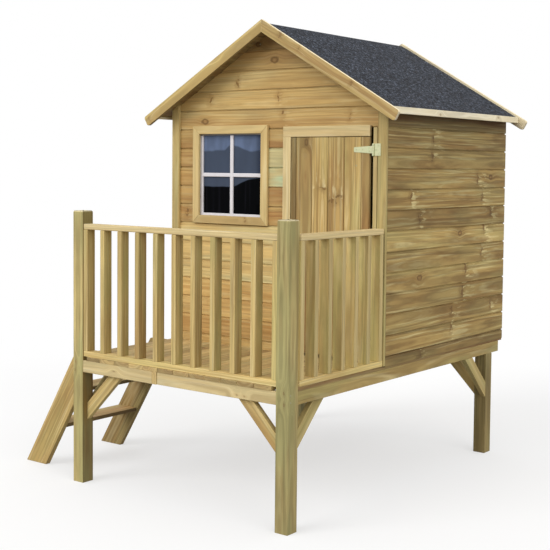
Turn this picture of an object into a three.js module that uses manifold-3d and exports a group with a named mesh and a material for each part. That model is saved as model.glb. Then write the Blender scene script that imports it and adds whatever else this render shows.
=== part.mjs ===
// Stilt playhouse: a boarded cabin and its porch on four posts, with a ladder at the left end.
// Millimetres, +Z up, the door and the porch facing -Y. The layout is drawn centred on X = 0,
// with Y = 0 at the front of the front posts and Z = 0 on the ground. The last lines move it
// so that the origin lies under the middle of the whole.

import * as THREE from 'three';
import { mergeVertices } from 'three/addons/utils/BufferGeometryUtils.js';
import Module from 'manifold-3d';

const wasm = await Module();
wasm.setup();

// Driving dimensions of the whole.
const platformWidth = 1320;
const deckTop = 623;
const deckDepth = 1962;
const rearPostSetback = 112;
const porchDepth = 716;
const rearWallSetback = 24;
const ridgeHeight = 2272;
const roofPitchDegrees = 30.3;
const gableOverhang = 107;
const eaveOverhang = 72;
const railHeadDrop = 427;
const railPostProud = 63;

// Timber sections and clearances.
const postSide = 68;
const postArris = 14;
const beamThickness = 28;
const beamHeight = 58;
const deckBoardWidth = 92;
const deckBoardThickness = 19;
const deckLeastGap = 2;
const studSide = 40;
const edgeEase = 2;
const seam = 0.3;
const weld = 1;
const overrun = 10;

// Front beam, made of two lengths that meet at the floor runner, and bearers across the runner.
const frontBeamLeftLength = 462;
const frontBeamSetback = 4;
const bearerCount = 4;
const bearerBraceGap = 28;

// Knee braces, sawn at 45 degrees.
const braceWidth = 58;
const braceThickness = 28;
const braceReach = 236;

// Railings.
const railThickness = 27;
const railDepth = 50;
const frontRailSetback = 4;
const sideRailProud = 9;
const balusterWidth = 28;
const hingePlateRoom = 4;
const frontBalusterCount = 11;
const sideBalusterCount = 7;

// Ladder.
const ladderPitchDegrees = 58.6;
const ladderWidth = 560;
const stringerWidth = 128;
const stringerThickness = 28;
const treadRise = 197.5;
const treadDepth = 133;
const treadThickness = 20;

// Walls of lapped boards.
const sidingThickness = 14;
const sidingPitch = 97.6;
const firstBoardHeight = 47.3;
const sideWallDrop = 4;
const lapDepth = 4;
const lapShadow = 3;
const lapBevel = 8;
const lastLapMargin = 20;
const plateHeight = 45;
const ridgeBeamThickness = 28;
const ridgeBeamHeight = 70;

// Trim boards round the openings and at the front corners.
const trimThickness = 16;
const cornerBoardWidth = 48;
const jambStripWidth = 22;
const jambStripGap = 3;
const doorTrimWidth = 48;
const doorHeadTrimHeight = 52;
const doorHeadLap = 10;

// Window.
const windowSideRoom = 99.5;
const windowHeight = 507;
const windowHeadDrop = 512;
const windowTrimWidth = 42;
const windowTrimLap = 14;
const sashClearance = 2;
const sashBarWidth = 24;
const sashFrontDepth = 15;
const sashRearDepth = 15;
const sashRebate = 8;
const muntinWidth = 20;
const paneThickness = 4;
const paneClearance = 1;

// Door leaf and its T-hinges.
const leafFromMiddle = 122;
const leafHeadDrop = 577;
const leafFootGap = 17;
const leafHeadGap = 3;
const leafHingeGap = 19;
const leafLatchGap = 3;
const plankWidth = 95;
const hingePlankWidth = 48;
const plankThickness = 16;
const plankGrooveWidth = 5;
const plankGrooveDepth = 3;
const ledgeHeight = 70;
const ledgeThickness = 27;
const ledgeInset = 15;
const hingeFromLeafFoot = 53;
const hingeFromLeafHead = 60;
const hingePinRadius = 2.3;
const hingeBoreClearance = 0.3;
const hingeGauge = 2.4;
const hingeAxisInset = 3;
const strapLength = 109;
const strapRootHeight = 36;
const strapTipHeight = 24;
const strapTipRound = 6;
const hingePlateWidth = 37;
const hingePlateHeight = 57;
const hingePlateRound = 3;
const knuckleClearance = 0.4;

// Roof.
const bargeReach = 795;
const bargeWidth = 54;
const bargeThickness = 18;
const bargeReveal = 10;
const bargeTipRound = 12;
const feltThickness = 3;
const roofBoardThickness = 15;
const roofBoardWidth = 95;
const roofGrooveWidth = 6;
const roofGrooveDepth = 3;
const fasciaThickness = 12;
const fasciaHeight = 32;

// Places that several pieces share.
const relief = seam / 2;
const halfWidth = platformWidth / 2;
const postInner = halfWidth - postSide;
const beamTop = deckTop - deckBoardThickness;
const beamFoot = beamTop - beamHeight;
const braceFoot = beamFoot - braceReach;
const braceRun = beamTop - braceFoot;
const postLineDepth = deckDepth - rearPostSetback;
const rearPostFront = postLineDepth - postSide;
const sidingFront = porchDepth + trimThickness;
const frameFront = sidingFront + sidingThickness;
const rearWallFace = deckDepth - rearWallSetback;
const frameRear = rearWallFace - sidingThickness;
const wallHalf = halfWidth + sidingThickness;
const spliceLeft = -postInner + frontBeamLeftLength;
const spliceRight = spliceLeft + beamThickness;
const roofPitch = THREE.MathUtils.degToRad(roofPitchDegrees);
const feltFoot = bargeReveal + feltThickness + seam;
const roofUnderside = feltFoot + roofBoardThickness;
const fasciaFace = wallHalf + eaveOverhang;
const eaveEnd = fasciaFace - fasciaThickness;
const bargeFront = sidingFront - gableOverhang;
const bargeBack = bargeFront + bargeThickness;
const knuckleRadius = hingePinRadius + hingeBoreClearance + hingeGauge;
const jambStripLeft = wallHalf - cornerBoardWidth - jambStripGap - jambStripWidth;
const leafRight = jambStripLeft - leafHingeGap;
const leafLeft = leafFromMiddle;
const leafFoot = deckTop + leafFootGap;
const leafHead = ridgeHeight - leafHeadDrop;
const doorOpeningLeft = leafLeft - leafLatchGap;
const doorTrimHead = leafHead + leafHeadGap;
const railTop = leafHead - railHeadDrop;
const railPostHeight = railTop + railPostProud;
const doorOpeningHead = doorTrimHead + doorHeadTrimHeight - doorHeadLap;
const hingeX = jambStripLeft + hingeAxisInset;
const hingeY = porchDepth - seam - knuckleRadius;
const windowRoom = [cornerBoardWidth - wallHalf, doorOpeningLeft - doorTrimWidth];
const windowCentreX = (windowRoom[0] + windowRoom[1]) / 2;
const windowWidth = windowRoom[1] - windowRoom[0] - 2 * windowSideRoom;
const windowFoot = ridgeHeight - windowHeadDrop - windowHeight;
const sides = { left: -1, right: 1 };

// Looks: one material for each piece, in the colours of pressure-treated pine, zinc and felt.
const looks = {
  pine: { color: 0xd2ae6c, roughness: 0.72, metalness: 0 },
  sidePine: { color: 0xb08f5c, roughness: 0.75, metalness: 0 },
  greenPine: { color: 0xb29c60, roughness: 0.78, metalness: 0 },
  palePine: { color: 0xdcc389, roughness: 0.7, metalness: 0 },
  whitePaint: { color: 0xe9ebee, roughness: 0.45, metalness: 0 },
  zinc: { color: 0xc9c9bb, roughness: 0.4, metalness: 0.8 },
  felt: { color: 0x3c424a, roughness: 0.95, metalness: 0 },
};

const glassLook = { color: 0x2b3340, roughness: 0.05, metalness: 0, transparent: true, opacity: 0.6 };

function place(parent, name, look, geometry) {
  const mesh = new THREE.Mesh(geometry, new THREE.MeshStandardMaterial(look));
  mesh.name = name;
  parent.add(mesh);
  return mesh;
}

// Outlines are lists of [u, v] points: [y, z] when pushed along x, [x, z] along y, [x, y] along z.
const pushFrames = {
  x: [new THREE.Vector3(0, 1, 0), new THREE.Vector3(0, 0, 1), new THREE.Vector3(1, 0, 0)],
  y: [new THREE.Vector3(1, 0, 0), new THREE.Vector3(0, 0, 1), new THREE.Vector3(0, -1, 0)],
  z: [new THREE.Vector3(1, 0, 0), new THREE.Vector3(0, 1, 0), new THREE.Vector3(0, 0, 1)],
};

function toShape(outline, holes = []) {
  const points = (list) => list.map(([u, v]) => new THREE.Vector2(u, v));
  const shape = new THREE.Shape(points(outline));
  shape.holes = holes.map((hole) => new THREE.Path(points(hole)));
  return shape;
}

function pushShape(shape, axis, [from, to], ease = 0) {
  const geometry = new THREE.ExtrudeGeometry(shape, {
    depth: to - from - 2 * ease,
    bevelEnabled: ease > 0,
    bevelThickness: ease,
    bevelSize: ease,
    bevelOffset: -ease,
    bevelSegments: 1,
    curveSegments: 5,
  });
  geometry.translate(0, 0, ease);
  geometry.applyMatrix4(new THREE.Matrix4().makeBasis(...pushFrames[axis]));
  const start = new THREE.Vector3();
  start[axis] = axis === 'y' ? to : from;
  return geometry.translate(start.x, start.y, start.z);
}

function push(outline, axis, reach, ease = 0) {
  return pushShape(toShape(outline), axis, reach, ease);
}

function span(a, b) {
  return [Math.min(a, b), Math.max(a, b)];
}

function shrink([low, high], by = relief) {
  return [low + by, high - by];
}

function rectangle([u0, u1], [v0, v1]) {
  return [[u0, v0], [u1, v0], [u1, v1], [u0, v1]];
}

function easedRectangle(width, height, ease) {
  const u = width / 2;
  const v = height / 2;
  return [
    [ease - u, -v], [u - ease, -v], [u, ease - v], [u, v - ease],
    [u - ease, v], [ease - u, v], [-u, v - ease], [-u, ease - v],
  ];
}

// A planed board between two corners, its four long edges eased, pushed along its longest side.
function boardGeometry(width, depth, height) {
  const lengths = { x: width, y: depth, z: height };
  const axis = Object.keys(lengths).reduce((a, b) => (lengths[b] > lengths[a] ? b : a));
  const [u, v] = { x: [depth, height], y: [width, height], z: [width, depth] }[axis];
  return push(easedRectangle(u, v, edgeEase), axis, [-lengths[axis] / 2, lengths[axis] / 2]);
}

// Neighbouring boards are drawn half a seam short on every side, so that none overlap.
function board(parent, name, look, xs, ys, zs) {
  const spans = [xs, ys, zs].map((pair) => shrink(pair));
  const mesh = place(parent, name, look, boardGeometry(...spans.map(([low, high]) => high - low)));
  mesh.position.set(...spans.map(([low, high]) => (low + high) / 2));
  return mesh;
}

function blockGeometry(xs, ys, zs) {
  const [width, depth, height] = [xs, ys, zs].map(([low, high]) => high - low);
  const [x, y, z] = [xs, ys, zs].map(([low, high]) => (low + high) / 2);
  return boardGeometry(width, depth, height).translate(x, y, z);
}

function toSolid(geometry) {
  const plain = geometry.clone();
  plain.deleteAttribute('normal');
  plain.deleteAttribute('uv');
  const merged = mergeVertices(plain);
  return new wasm.Manifold(new wasm.Mesh({
    numProp: 3,
    vertProperties: merged.attributes.position.array,
    triVerts: new Uint32Array(merged.index.array),
  }));
}

function toGeometry(solid) {
  const mesh = solid.getMesh();
  const indexed = new THREE.BufferGeometry();
  indexed.setAttribute('position', new THREE.BufferAttribute(new Float32Array(mesh.vertProperties), 3));
  indexed.setIndex(new THREE.BufferAttribute(new Uint32Array(mesh.triVerts), 1));
  const geometry = indexed.toNonIndexed();
  geometry.computeVertexNormals();
  return geometry;
}

function joined(geometries) {
  const [first, ...rest] = geometries.map(toSolid);
  return rest.reduce((whole, solid) => whole.add(solid), first);
}

// Front posts carry the railing. Rear posts stop under the floor, rebated for the side beams.
function addPosts(parent) {
  for (const [side, sign] of Object.entries(sides)) {
    const centre = sign * (halfWidth - postSide / 2);
    const section = easedRectangle(postSide, postSide, edgeEase);
    const faces = [-postSide / 2, postSide / 2];
    const bevelled = toSolid(push(rectangle(faces, faces), 'z', [-postArris, railPostHeight], postArris));
    const tall = toSolid(push(section, 'z', [0, railPostHeight + overrun]));
    const front = place(parent, `post_front_${side}`, looks.greenPine,
      toGeometry(tall.intersect(bevelled)));
    front.position.set(centre, postSide / 2, 0);

    const shaft = toSolid(push(section, 'z', [0, beamTop - relief]));
    const rebateEdge = postSide / 2 - beamThickness;
    const rebate = toSolid(push(
      rectangle(span(sign * rebateEdge, sign * (postSide + overrun)), [-postSide, postSide]),
      'z', [beamFoot, beamTop + overrun]));
    const rear = place(parent, `post_rear_${side}`, looks.greenPine, toGeometry(shaft.subtract(rebate)));
    rear.position.set(centre, postLineDepth - postSide / 2, 0);
  }
}

function addBeams(parent) {
  const heights = [beamFoot, beamTop];
  board(parent, 'front_beam_left', looks.palePine,
    [-postInner, spliceLeft], [0, beamThickness], heights);
  board(parent, 'front_beam_right', looks.palePine, [spliceRight, postInner],
    [frontBeamSetback, frontBeamSetback + beamThickness], heights);
  board(parent, 'rear_beam', looks.greenPine,
    [-postInner, postInner], [postLineDepth - beamThickness, postLineDepth], heights);
  for (const [side, sign] of Object.entries(sides)) {
    board(parent, `side_beam_${side}`, looks.greenPine,
      span(sign * (halfWidth - beamThickness), sign * halfWidth), [postSide, frameRear], heights);
  }
}

// Bearers lie evenly between the front and rear braces, with one more under the rear wall.
function bearerStarts() {
  const first = postSide + braceRun + bearerBraceGap;
  const last = rearPostFront - braceRun - bearerBraceGap - beamThickness;
  const pitch = (last - first) / (bearerCount - 1);
  const between = Array.from({ length: bearerCount }, (_, i) => first + i * pitch);
  return [...between, frameRear - beamThickness];
}

// Boards from front to rear, on a runner and cross bearers. The outer two start behind the posts.
function addDeck(parent) {
  const count = Math.floor((platformWidth + deckLeastGap) / (deckBoardWidth + deckLeastGap));
  const pitch = (platformWidth - deckBoardWidth) / (count - 1);
  const pieces = [];
  for (let i = 0; i < count; i += 1) {
    const left = i * pitch - halfWidth;
    const start = i === 0 || i === count - 1 ? postSide : 0;
    pieces.push(blockGeometry([left, left + deckBoardWidth], [start + relief, deckDepth],
      [beamTop + relief, deckTop - relief]));
  }
  const bearerHeights = [beamFoot + relief, beamTop + weld];
  const bearerSpan = shrink([beamThickness - halfWidth, halfWidth - beamThickness]);
  for (const start of bearerStarts()) {
    pieces.push(blockGeometry(bearerSpan, [start, start + beamThickness], bearerHeights));
  }
  pieces.push(blockGeometry(shrink([spliceLeft, spliceRight]),
    [0, postLineDepth - beamThickness - relief], bearerHeights));
  place(parent, 'deck', looks.pine, toGeometry(joined(pieces)));
}

// A brace from a post's face up to the given height, as [run, height] points.
function braceOutline(postFace, direction, top = beamTop) {
  const plumbWidth = braceWidth * Math.SQRT2;
  const head = top - relief;
  const run = head - braceFoot;
  const at = (along, height) => [postFace + direction * along, height];
  return [
    at(relief, braceFoot + relief), at(run, head),
    at(run - plumbWidth, head), at(relief, braceFoot + plumbWidth + relief),
  ];
}

// The side braces lie behind the side beams at the front, and under them at the rear.
function addBraces(parent) {
  const ends = {
    front: {
      face: postSide, direction: 1, behind: beamThickness, inward: 1,
      outer: halfWidth - beamThickness, top: beamTop,
    },
    rear: {
      face: rearPostFront, direction: -1, behind: postLineDepth - beamThickness, inward: -1,
      outer: halfWidth, top: beamFoot,
    },
  };
  for (const [end, { face, direction, behind, inward, outer, top }] of Object.entries(ends)) {
    for (const [side, sign] of Object.entries(sides)) {
      const setback = end === 'front' && side === 'right' ? frontBeamSetback : 0;
      const start = behind + setback;
      place(parent, `brace_${end}_${side}`, looks.pine, push(braceOutline(sign * postInner, -sign),
        'y', shrink(span(start, start + inward * braceThickness)), edgeEase));
      const across = shrink(span(sign * outer, sign * (outer - braceThickness)));
      place(parent, `brace_side_${end}_${side}`, looks.greenPine,
        push(braceOutline(face, direction, top), 'x', across, edgeEase));
    }
  }
}

// A bottom rail with its balusters standing on it, in one piece, and a top rail laid over them.
// The last baluster keeps the given room to what the rails end against.
function addRailing(parent, name, { across, along, count, endRoom, blockOf }) {
  const lower = [deckTop + relief, deckTop + railThickness];
  const [start, end] = shrink(along);
  const pitch = (end - endRoom - start - balusterWidth) / (count - 1);
  const pieces = [blockOf(across, [start, end], lower)];
  for (let i = 0; i < count; i += 1) {
    const near = start + i * pitch;
    pieces.push(blockOf(across, [near, near + balusterWidth],
      [lower[1] - weld, railTop - railThickness - relief]));
  }
  place(parent, `${name}_balusters`, looks.pine, toGeometry(joined(pieces)));
  place(parent, `${name}_top_rail`, looks.palePine,
    blockOf(across, [start, end], [railTop - railThickness + relief, railTop]));
}

function addRailings(parent) {
  addRailing(parent, 'front', {
    across: [frontRailSetback, frontRailSetback + railDepth],
    along: [-postInner, postInner],
    count: frontBalusterCount,
    endRoom: 0,
    blockOf: (ys, xs, zs) => blockGeometry(xs, ys, zs),
  });
  const outer = halfWidth + sideRailProud;
  addRailing(parent, 'side', {
    across: [outer - railDepth, outer],
    along: [postSide, porchDepth],
    count: sideBalusterCount,
    endRoom: hingePlateRoom,
    blockOf: blockGeometry,
  });
}

// Two sloping stringers against the platform's left edge, with level treads let in between them.
function addLadder(parent) {
  const pitch = THREE.MathUtils.degToRad(ladderPitchDegrees);
  const levelWidth = stringerWidth / Math.sin(pitch);
  const lowerEdge = (height) => -halfWidth - relief - (beamFoot - height) / Math.tan(pitch);
  const upperEdge = (height) => lowerEdge(height) - levelWidth;
  const outline = [
    [upperEdge(0), 0], [lowerEdge(0), 0], [lowerEdge(beamFoot), beamFoot],
    [lowerEdge(beamFoot), deckTop], [upperEdge(deckTop), deckTop],
  ];
  const middle = (postSide + porchDepth) / 2;
  const front = middle - ladderWidth / 2;
  const rear = middle + ladderWidth / 2;
  place(parent, 'ladder_stringer_front', looks.greenPine,
    push(outline, 'y', [front, front + stringerThickness], edgeEase));
  place(parent, 'ladder_stringer_rear', looks.greenPine,
    push(outline, 'y', [rear - stringerThickness, rear], edgeEase));
  const treadCount = Math.floor(deckTop / treadRise) - 1;
  for (let i = 1; i <= treadCount; i += 1) {
    const top = deckTop - i * treadRise;
    const back = lowerEdge(top - treadThickness);
    board(parent, `ladder_tread_${i}`, looks.pine, [back - treadDepth, back],
      [front + stringerThickness, rear - stringerThickness], [top - treadThickness, top]);
  }
}

// Height of a line parallel to the roof, lying the given depth square under the barge boards' top edge.
function roofLine(depth, x) {
  return ridgeHeight - depth / Math.cos(roofPitch) - Math.abs(x) * Math.tan(roofPitch);
}

// The weather face of lapped boards: each board's foot stands over a bevelled shadow line.
function lapPoints(face, inward, head) {
  const points = [];
  for (let lap = deckTop + firstBoardHeight; lap < head - lastLapMargin; lap += sidingPitch) {
    const recess = face + inward * lapDepth;
    points.push([face, lap - lapBevel], [recess, lap - lapShadow], [recess, lap], [face, lap]);
  }
  return points;
}

function gableOutline() {
  const eave = halfWidth - relief;
  const underside = (x) => roofLine(roofUnderside + seam, x);
  return [
    [-eave, deckTop + relief], [eave, deckTop + relief],
    [eave, underside(eave)], [0, underside(0)], [-eave, underside(eave)],
  ];
}

function gableWall(face, inward, holes) {
  const foot = deckTop - overrun;
  const head = ridgeHeight;
  const inner = face + inward * (sidingThickness - seam);
  const profile = [
    [face, foot], ...lapPoints(face, inward, head), [face, head], [inner, head], [inner, foot],
  ];
  const boards = toSolid(push(profile, 'x', [-halfWidth, halfWidth]));
  const [near, far] = span(face, inner);
  const cut = pushShape(toShape(gableOutline(), holes), 'y', [near - overrun, far + overrun]);
  return toGeometry(boards.intersect(toSolid(cut)));
}

function windowOpening() {
  const reach = windowWidth / 2 - windowTrimWidth + windowTrimLap;
  const inset = windowTrimWidth - windowTrimLap;
  return rectangle([windowCentreX - reach, windowCentreX + reach],
    [windowFoot + inset, windowFoot + windowHeight - inset]);
}

function addWalls(parent) {
  const doorway = rectangle([doorOpeningLeft, jambStripLeft], [deckTop - overrun, doorOpeningHead]);
  const front = toSolid(gableWall(sidingFront + relief, 1, [windowOpening()]));
  const doorCut = toSolid(push(doorway, 'y', [sidingFront - overrun, frameFront + overrun]));
  place(parent, 'wall_front', looks.pine, toGeometry(front.subtract(doorCut)));
  place(parent, 'wall_rear', looks.pine, gableWall(rearWallFace, -1, []));

  for (const [side, sign] of Object.entries(sides)) {
    const inner = halfWidth + relief;
    const foot = deckTop - sideWallDrop;
    const head = roofLine(roofUnderside + seam, wallHalf);
    const outline = [
      [wallHalf, foot], ...lapPoints(wallHalf, -1, head), [wallHalf, head],
      [inner, roofLine(roofUnderside + seam, inner)], [inner, foot],
    ].map(([x, z]) => [sign * x, z]);
    place(parent, `wall_${side}`, looks.sidePine,
      push(outline, 'y', [sidingFront + relief, rearWallFace]));
  }
}

// The frame inside the walls: corner studs under wall plates, the door's stud and the ridge beam.
function addFrame(parent) {
  const inner = halfWidth - studSide;
  const plateFoot = roofLine(roofUnderside + seam, halfWidth) - plateHeight;
  for (const [side, sign] of Object.entries(sides)) {
    const across = span(sign * inner, sign * halfWidth);
    board(parent, `stud_front_${side}`, looks.pine, across,
      [frameFront, frameFront + studSide], [deckTop, plateFoot]);
    board(parent, `stud_rear_${side}`, looks.pine, across,
      [frameRear - studSide, frameRear], [deckTop, plateFoot]);
    const [low, high] = shrink([inner, halfWidth]);
    const outline = [
      [low, plateFoot + relief], [high, plateFoot + relief],
      [high, roofLine(roofUnderside + seam, high)], [low, roofLine(roofUnderside + seam, low)],
    ].map(([x, z]) => [sign * x, z]);
    place(parent, `wall_plate_${side}`, looks.pine, push(outline, 'y', shrink([frameFront, frameRear])));
  }

  const half = ridgeBeamThickness / 2;
  const shoulder = roofLine(roofUnderside + seam, half);
  const crest = roofLine(roofUnderside + seam, 0);
  const ridge = [
    [-half, crest - ridgeBeamHeight], [half, crest - ridgeBeamHeight],
    [half, shoulder], [0, crest], [-half, shoulder],
  ];
  place(parent, 'ridge_beam', looks.pine, push(ridge, 'y', shrink([frameFront, frameRear])));

  const studLeft = doorOpeningLeft - studSide;
  const stud = [
    [studLeft, deckTop + relief], [doorOpeningLeft, deckTop + relief],
    [doorOpeningLeft, roofLine(roofUnderside + seam, doorOpeningLeft)],
    [studLeft, roofLine(roofUnderside + seam, studLeft)],
  ];
  place(parent, 'door_stud', looks.pine, push(stud, 'y', shrink([frameFront, frameFront + studSide])));
}

function addTrims(parent) {
  const thickness = [porchDepth, sidingFront];
  for (const [side, sign] of Object.entries(sides)) {
    const inner = wallHalf - cornerBoardWidth;
    const outline = [
      [inner, deckTop + relief], [wallHalf, deckTop + relief],
      [wallHalf, roofLine(roofUnderside + seam, wallHalf)],
      [inner, roofLine(roofUnderside + seam, inner)],
    ].map(([x, z]) => [sign * x, z]);
    place(parent, `corner_board_${side}`, looks.pine, push(outline, 'y', shrink(thickness), edgeEase));
  }
  board(parent, 'door_jamb_strip', looks.greenPine,
    [jambStripLeft, jambStripLeft + jambStripWidth], thickness, [deckTop, doorOpeningHead]);
  board(parent, 'door_side_trim', looks.palePine,
    [doorOpeningLeft - doorTrimWidth, doorOpeningLeft], thickness, [deckTop, doorTrimHead]);
  board(parent, 'door_head_trim', looks.palePine,
    [doorOpeningLeft - doorTrimWidth, leafRight], thickness,
    [doorTrimHead, doorTrimHead + doorHeadTrimHeight]);
}

function addWindow(parent) {
  const half = windowWidth / 2;
  const outer = rectangle([-half, half], [0, windowHeight]);
  const inner = rectangle([windowTrimWidth - half, half - windowTrimWidth],
    [windowTrimWidth, windowHeight - windowTrimWidth]);
  const trim = place(parent, 'window_trim', looks.palePine,
    pushShape(toShape(outer, [inner]), 'y', shrink([0, trimThickness]), edgeEase));
  trim.position.set(windowCentreX, porchDepth, windowFoot);

  const inset = windowTrimWidth - windowTrimLap + sashClearance;
  const sashHalf = half - inset;
  const sashHeights = [inset, windowHeight - inset];
  const lightHalf = sashHalf - sashBarWidth;
  const lightHeights = shrink(sashHeights, sashBarWidth);
  const sashFront = trimThickness + relief;
  const rebateDepth = sashFront + sashFrontDepth;
  const sashBack = rebateDepth + sashRearDepth;
  const rebateHalf = lightHalf + sashRebate;
  const rebateHeights = shrink(lightHeights, -sashRebate);
  const frame = push(rectangle([-sashHalf, sashHalf], sashHeights), 'y', [sashFront, sashBack]);
  const rebate = push(rectangle([-rebateHalf, rebateHalf], rebateHeights), 'y',
    [rebateDepth, sashBack + overrun]);
  const middle = windowHeight / 2;
  const muntinHalf = muntinWidth / 2;
  const rows = [[lightHeights[0], middle - muntinHalf], [middle + muntinHalf, lightHeights[1]]];
  let sashSolid = toSolid(frame).subtract(toSolid(rebate));
  for (const sign of Object.values(sides)) {
    const across = span(sign * muntinHalf, sign * lightHalf);
    for (const heights of rows) {
      const light = push(rectangle(across, heights), 'y', [sashFront - overrun, sashBack]);
      sashSolid = sashSolid.subtract(toSolid(light));
    }
  }
  const sash = place(parent, 'window_sash', looks.whitePaint, toGeometry(sashSolid));
  sash.position.copy(trim.position);

  const paneHalf = rebateHalf - paneClearance;
  const paneFront = rebateDepth + seam;
  const pane = place(parent, 'window_pane', glassLook,
    push(rectangle([-paneHalf, paneHalf], shrink(rebateHeights, paneClearance)),
      'y', [paneFront, paneFront + paneThickness]));
  pane.position.copy(trim.position);
}

// Upright planks with V joints, nailed to three ledges. Drawn from the hinge axis.
function leafGeometry() {
  const front = knuckleRadius + seam;
  const right = leafRight - hingeX;
  const left = leafLeft - hingeX;
  const back = front + plankThickness;
  const outline = [[left, back], [left, front]];
  const joints = [];
  for (let joint = right - hingePlankWidth; joint > left + plankGrooveWidth; joint -= plankWidth) {
    joints.unshift(joint);
  }
  for (const joint of joints) {
    outline.push([joint - plankGrooveWidth / 2, front], [joint, front + plankGrooveDepth],
      [joint + plankGrooveWidth / 2, front]);
  }
  outline.push([right, front], [right, back]);
  const pieces = [push(outline, 'z', [leafFoot, leafHead])];
  const lowest = leafFoot + hingeFromLeafFoot;
  const highest = leafHead - hingeFromLeafHead;
  for (const centre of [lowest, (lowest + highest) / 2, highest]) {
    pieces.push(blockGeometry([left + ledgeInset, right - ledgeInset],
      [back - weld, back + ledgeThickness], [centre - ledgeHeight / 2, centre + ledgeHeight / 2]));
  }
  return toGeometry(joined(pieces));
}

function roundBar(radius, [low, high]) {
  const segments = 24;
  return new THREE.CylinderGeometry(radius, radius, high - low, segments)
    .rotateX(Math.PI / 2)
    .translate(0, 0, (low + high) / 2);
}

// A tapered strap that wraps round the pin in the middle knuckle.
function strapGeometry() {
  const root = strapRootHeight / 2;
  const tip = strapTipHeight / 2;
  const shape = new THREE.Shape();
  shape.moveTo(0, -root);
  shape.lineTo(0, root);
  shape.lineTo(strapTipRound - strapLength, tip);
  shape.quadraticCurveTo(-strapLength, tip, -strapLength, tip - strapTipRound);
  shape.lineTo(-strapLength, strapTipRound - tip);
  shape.quadraticCurveTo(-strapLength, -tip, strapTipRound - strapLength, -tip);
  const strap = toSolid(pushShape(shape, 'y', [knuckleRadius - hingeGauge, knuckleRadius]));
  const knuckle = toSolid(roundBar(knuckleRadius, [-root, root]));
  const bore = toSolid(roundBar(hingePinRadius + hingeBoreClearance, [-root - overrun, root + overrun]));
  return toGeometry(strap.add(knuckle).subtract(bore));
}

// The fixed plate with the outer knuckles and the pin.
function hingePlateGeometry() {
  const half = hingePlateHeight / 2;
  const notch = strapRootHeight / 2 + knuckleClearance;
  const notchDepth = knuckleRadius + knuckleClearance;
  const round = hingePlateRound;
  const right = hingePlateWidth + hingeAxisInset;
  const shape = new THREE.Shape();
  shape.moveTo(0, -half);
  shape.lineTo(right - round, -half);
  shape.quadraticCurveTo(right, -half, right, round - half);
  shape.lineTo(right, half - round);
  shape.quadraticCurveTo(right, half, right - round, half);
  shape.lineTo(0, half);
  shape.lineTo(0, notch);
  shape.lineTo(notchDepth, notch);
  shape.lineTo(notchDepth, -notch);
  shape.lineTo(0, -notch);
  return toGeometry(joined([
    pushShape(shape, 'y', [knuckleRadius - hingeGauge, knuckleRadius]),
    roundBar(knuckleRadius, [notch, half]),
    roundBar(knuckleRadius, [-half, -notch]),
    roundBar(hingePinRadius, [-half, half]),
  ]));
}

function addDoor(parent) {
  const door = new THREE.Group();
  door.position.set(hingeX, hingeY, 0);
  parent.add(door);
  place(door, 'door_leaf', looks.pine, leafGeometry());
  const heights = { lower: leafFoot + hingeFromLeafFoot, upper: leafHead - hingeFromLeafHead };
  for (const [level, height] of Object.entries(heights)) {
    place(door, `hinge_strap_${level}`, looks.zinc, strapGeometry()).position.z = height;
    place(door, `hinge_plate_${level}`, looks.zinc, hingePlateGeometry()).position.z = height;
  }
}

// Roof boards run from gable to gable, with V joints on the underside.
function roofBoardOutline(sign) {
  const outline = [
    [relief, roofLine(feltFoot, relief)], [eaveEnd - relief, roofLine(feltFoot, eaveEnd - relief)],
    [eaveEnd - relief, roofLine(roofUnderside, eaveEnd - relief)],
  ];
  const pitch = roofBoardWidth * Math.cos(roofPitch);
  const half = roofGrooveWidth / 2;
  for (let joint = Math.floor((eaveEnd - half) / pitch) * pitch; joint > half; joint -= pitch) {
    outline.push([joint + half, roofLine(roofUnderside, joint + half)],
      [joint, roofLine(roofUnderside - roofGrooveDepth, joint)],
      [joint - half, roofLine(roofUnderside, joint - half)]);
  }
  outline.push([relief, roofLine(roofUnderside, relief)]);
  return outline.map(([x, z]) => [sign * x, z]);
}

// A barge board drawn along its own length, plumb cut at the ridge and rounded at its tip.
function bargeShape(sign) {
  const length = bargeReach / Math.cos(roofPitch);
  const mitre = relief / Math.cos(roofPitch);
  const at = (u, v) => [sign * u, v];
  const shape = new THREE.Shape();
  shape.moveTo(...at(mitre, 0));
  shape.lineTo(...at(length - bargeTipRound, 0));
  shape.quadraticCurveTo(...at(length, 0), ...at(length, -bargeTipRound));
  shape.lineTo(...at(length, bargeTipRound - bargeWidth));
  shape.quadraticCurveTo(...at(length, -bargeWidth), ...at(length - bargeTipRound, -bargeWidth));
  shape.lineTo(...at(mitre + bargeWidth * Math.tan(roofPitch), -bargeWidth));
  return shape;
}

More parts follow.
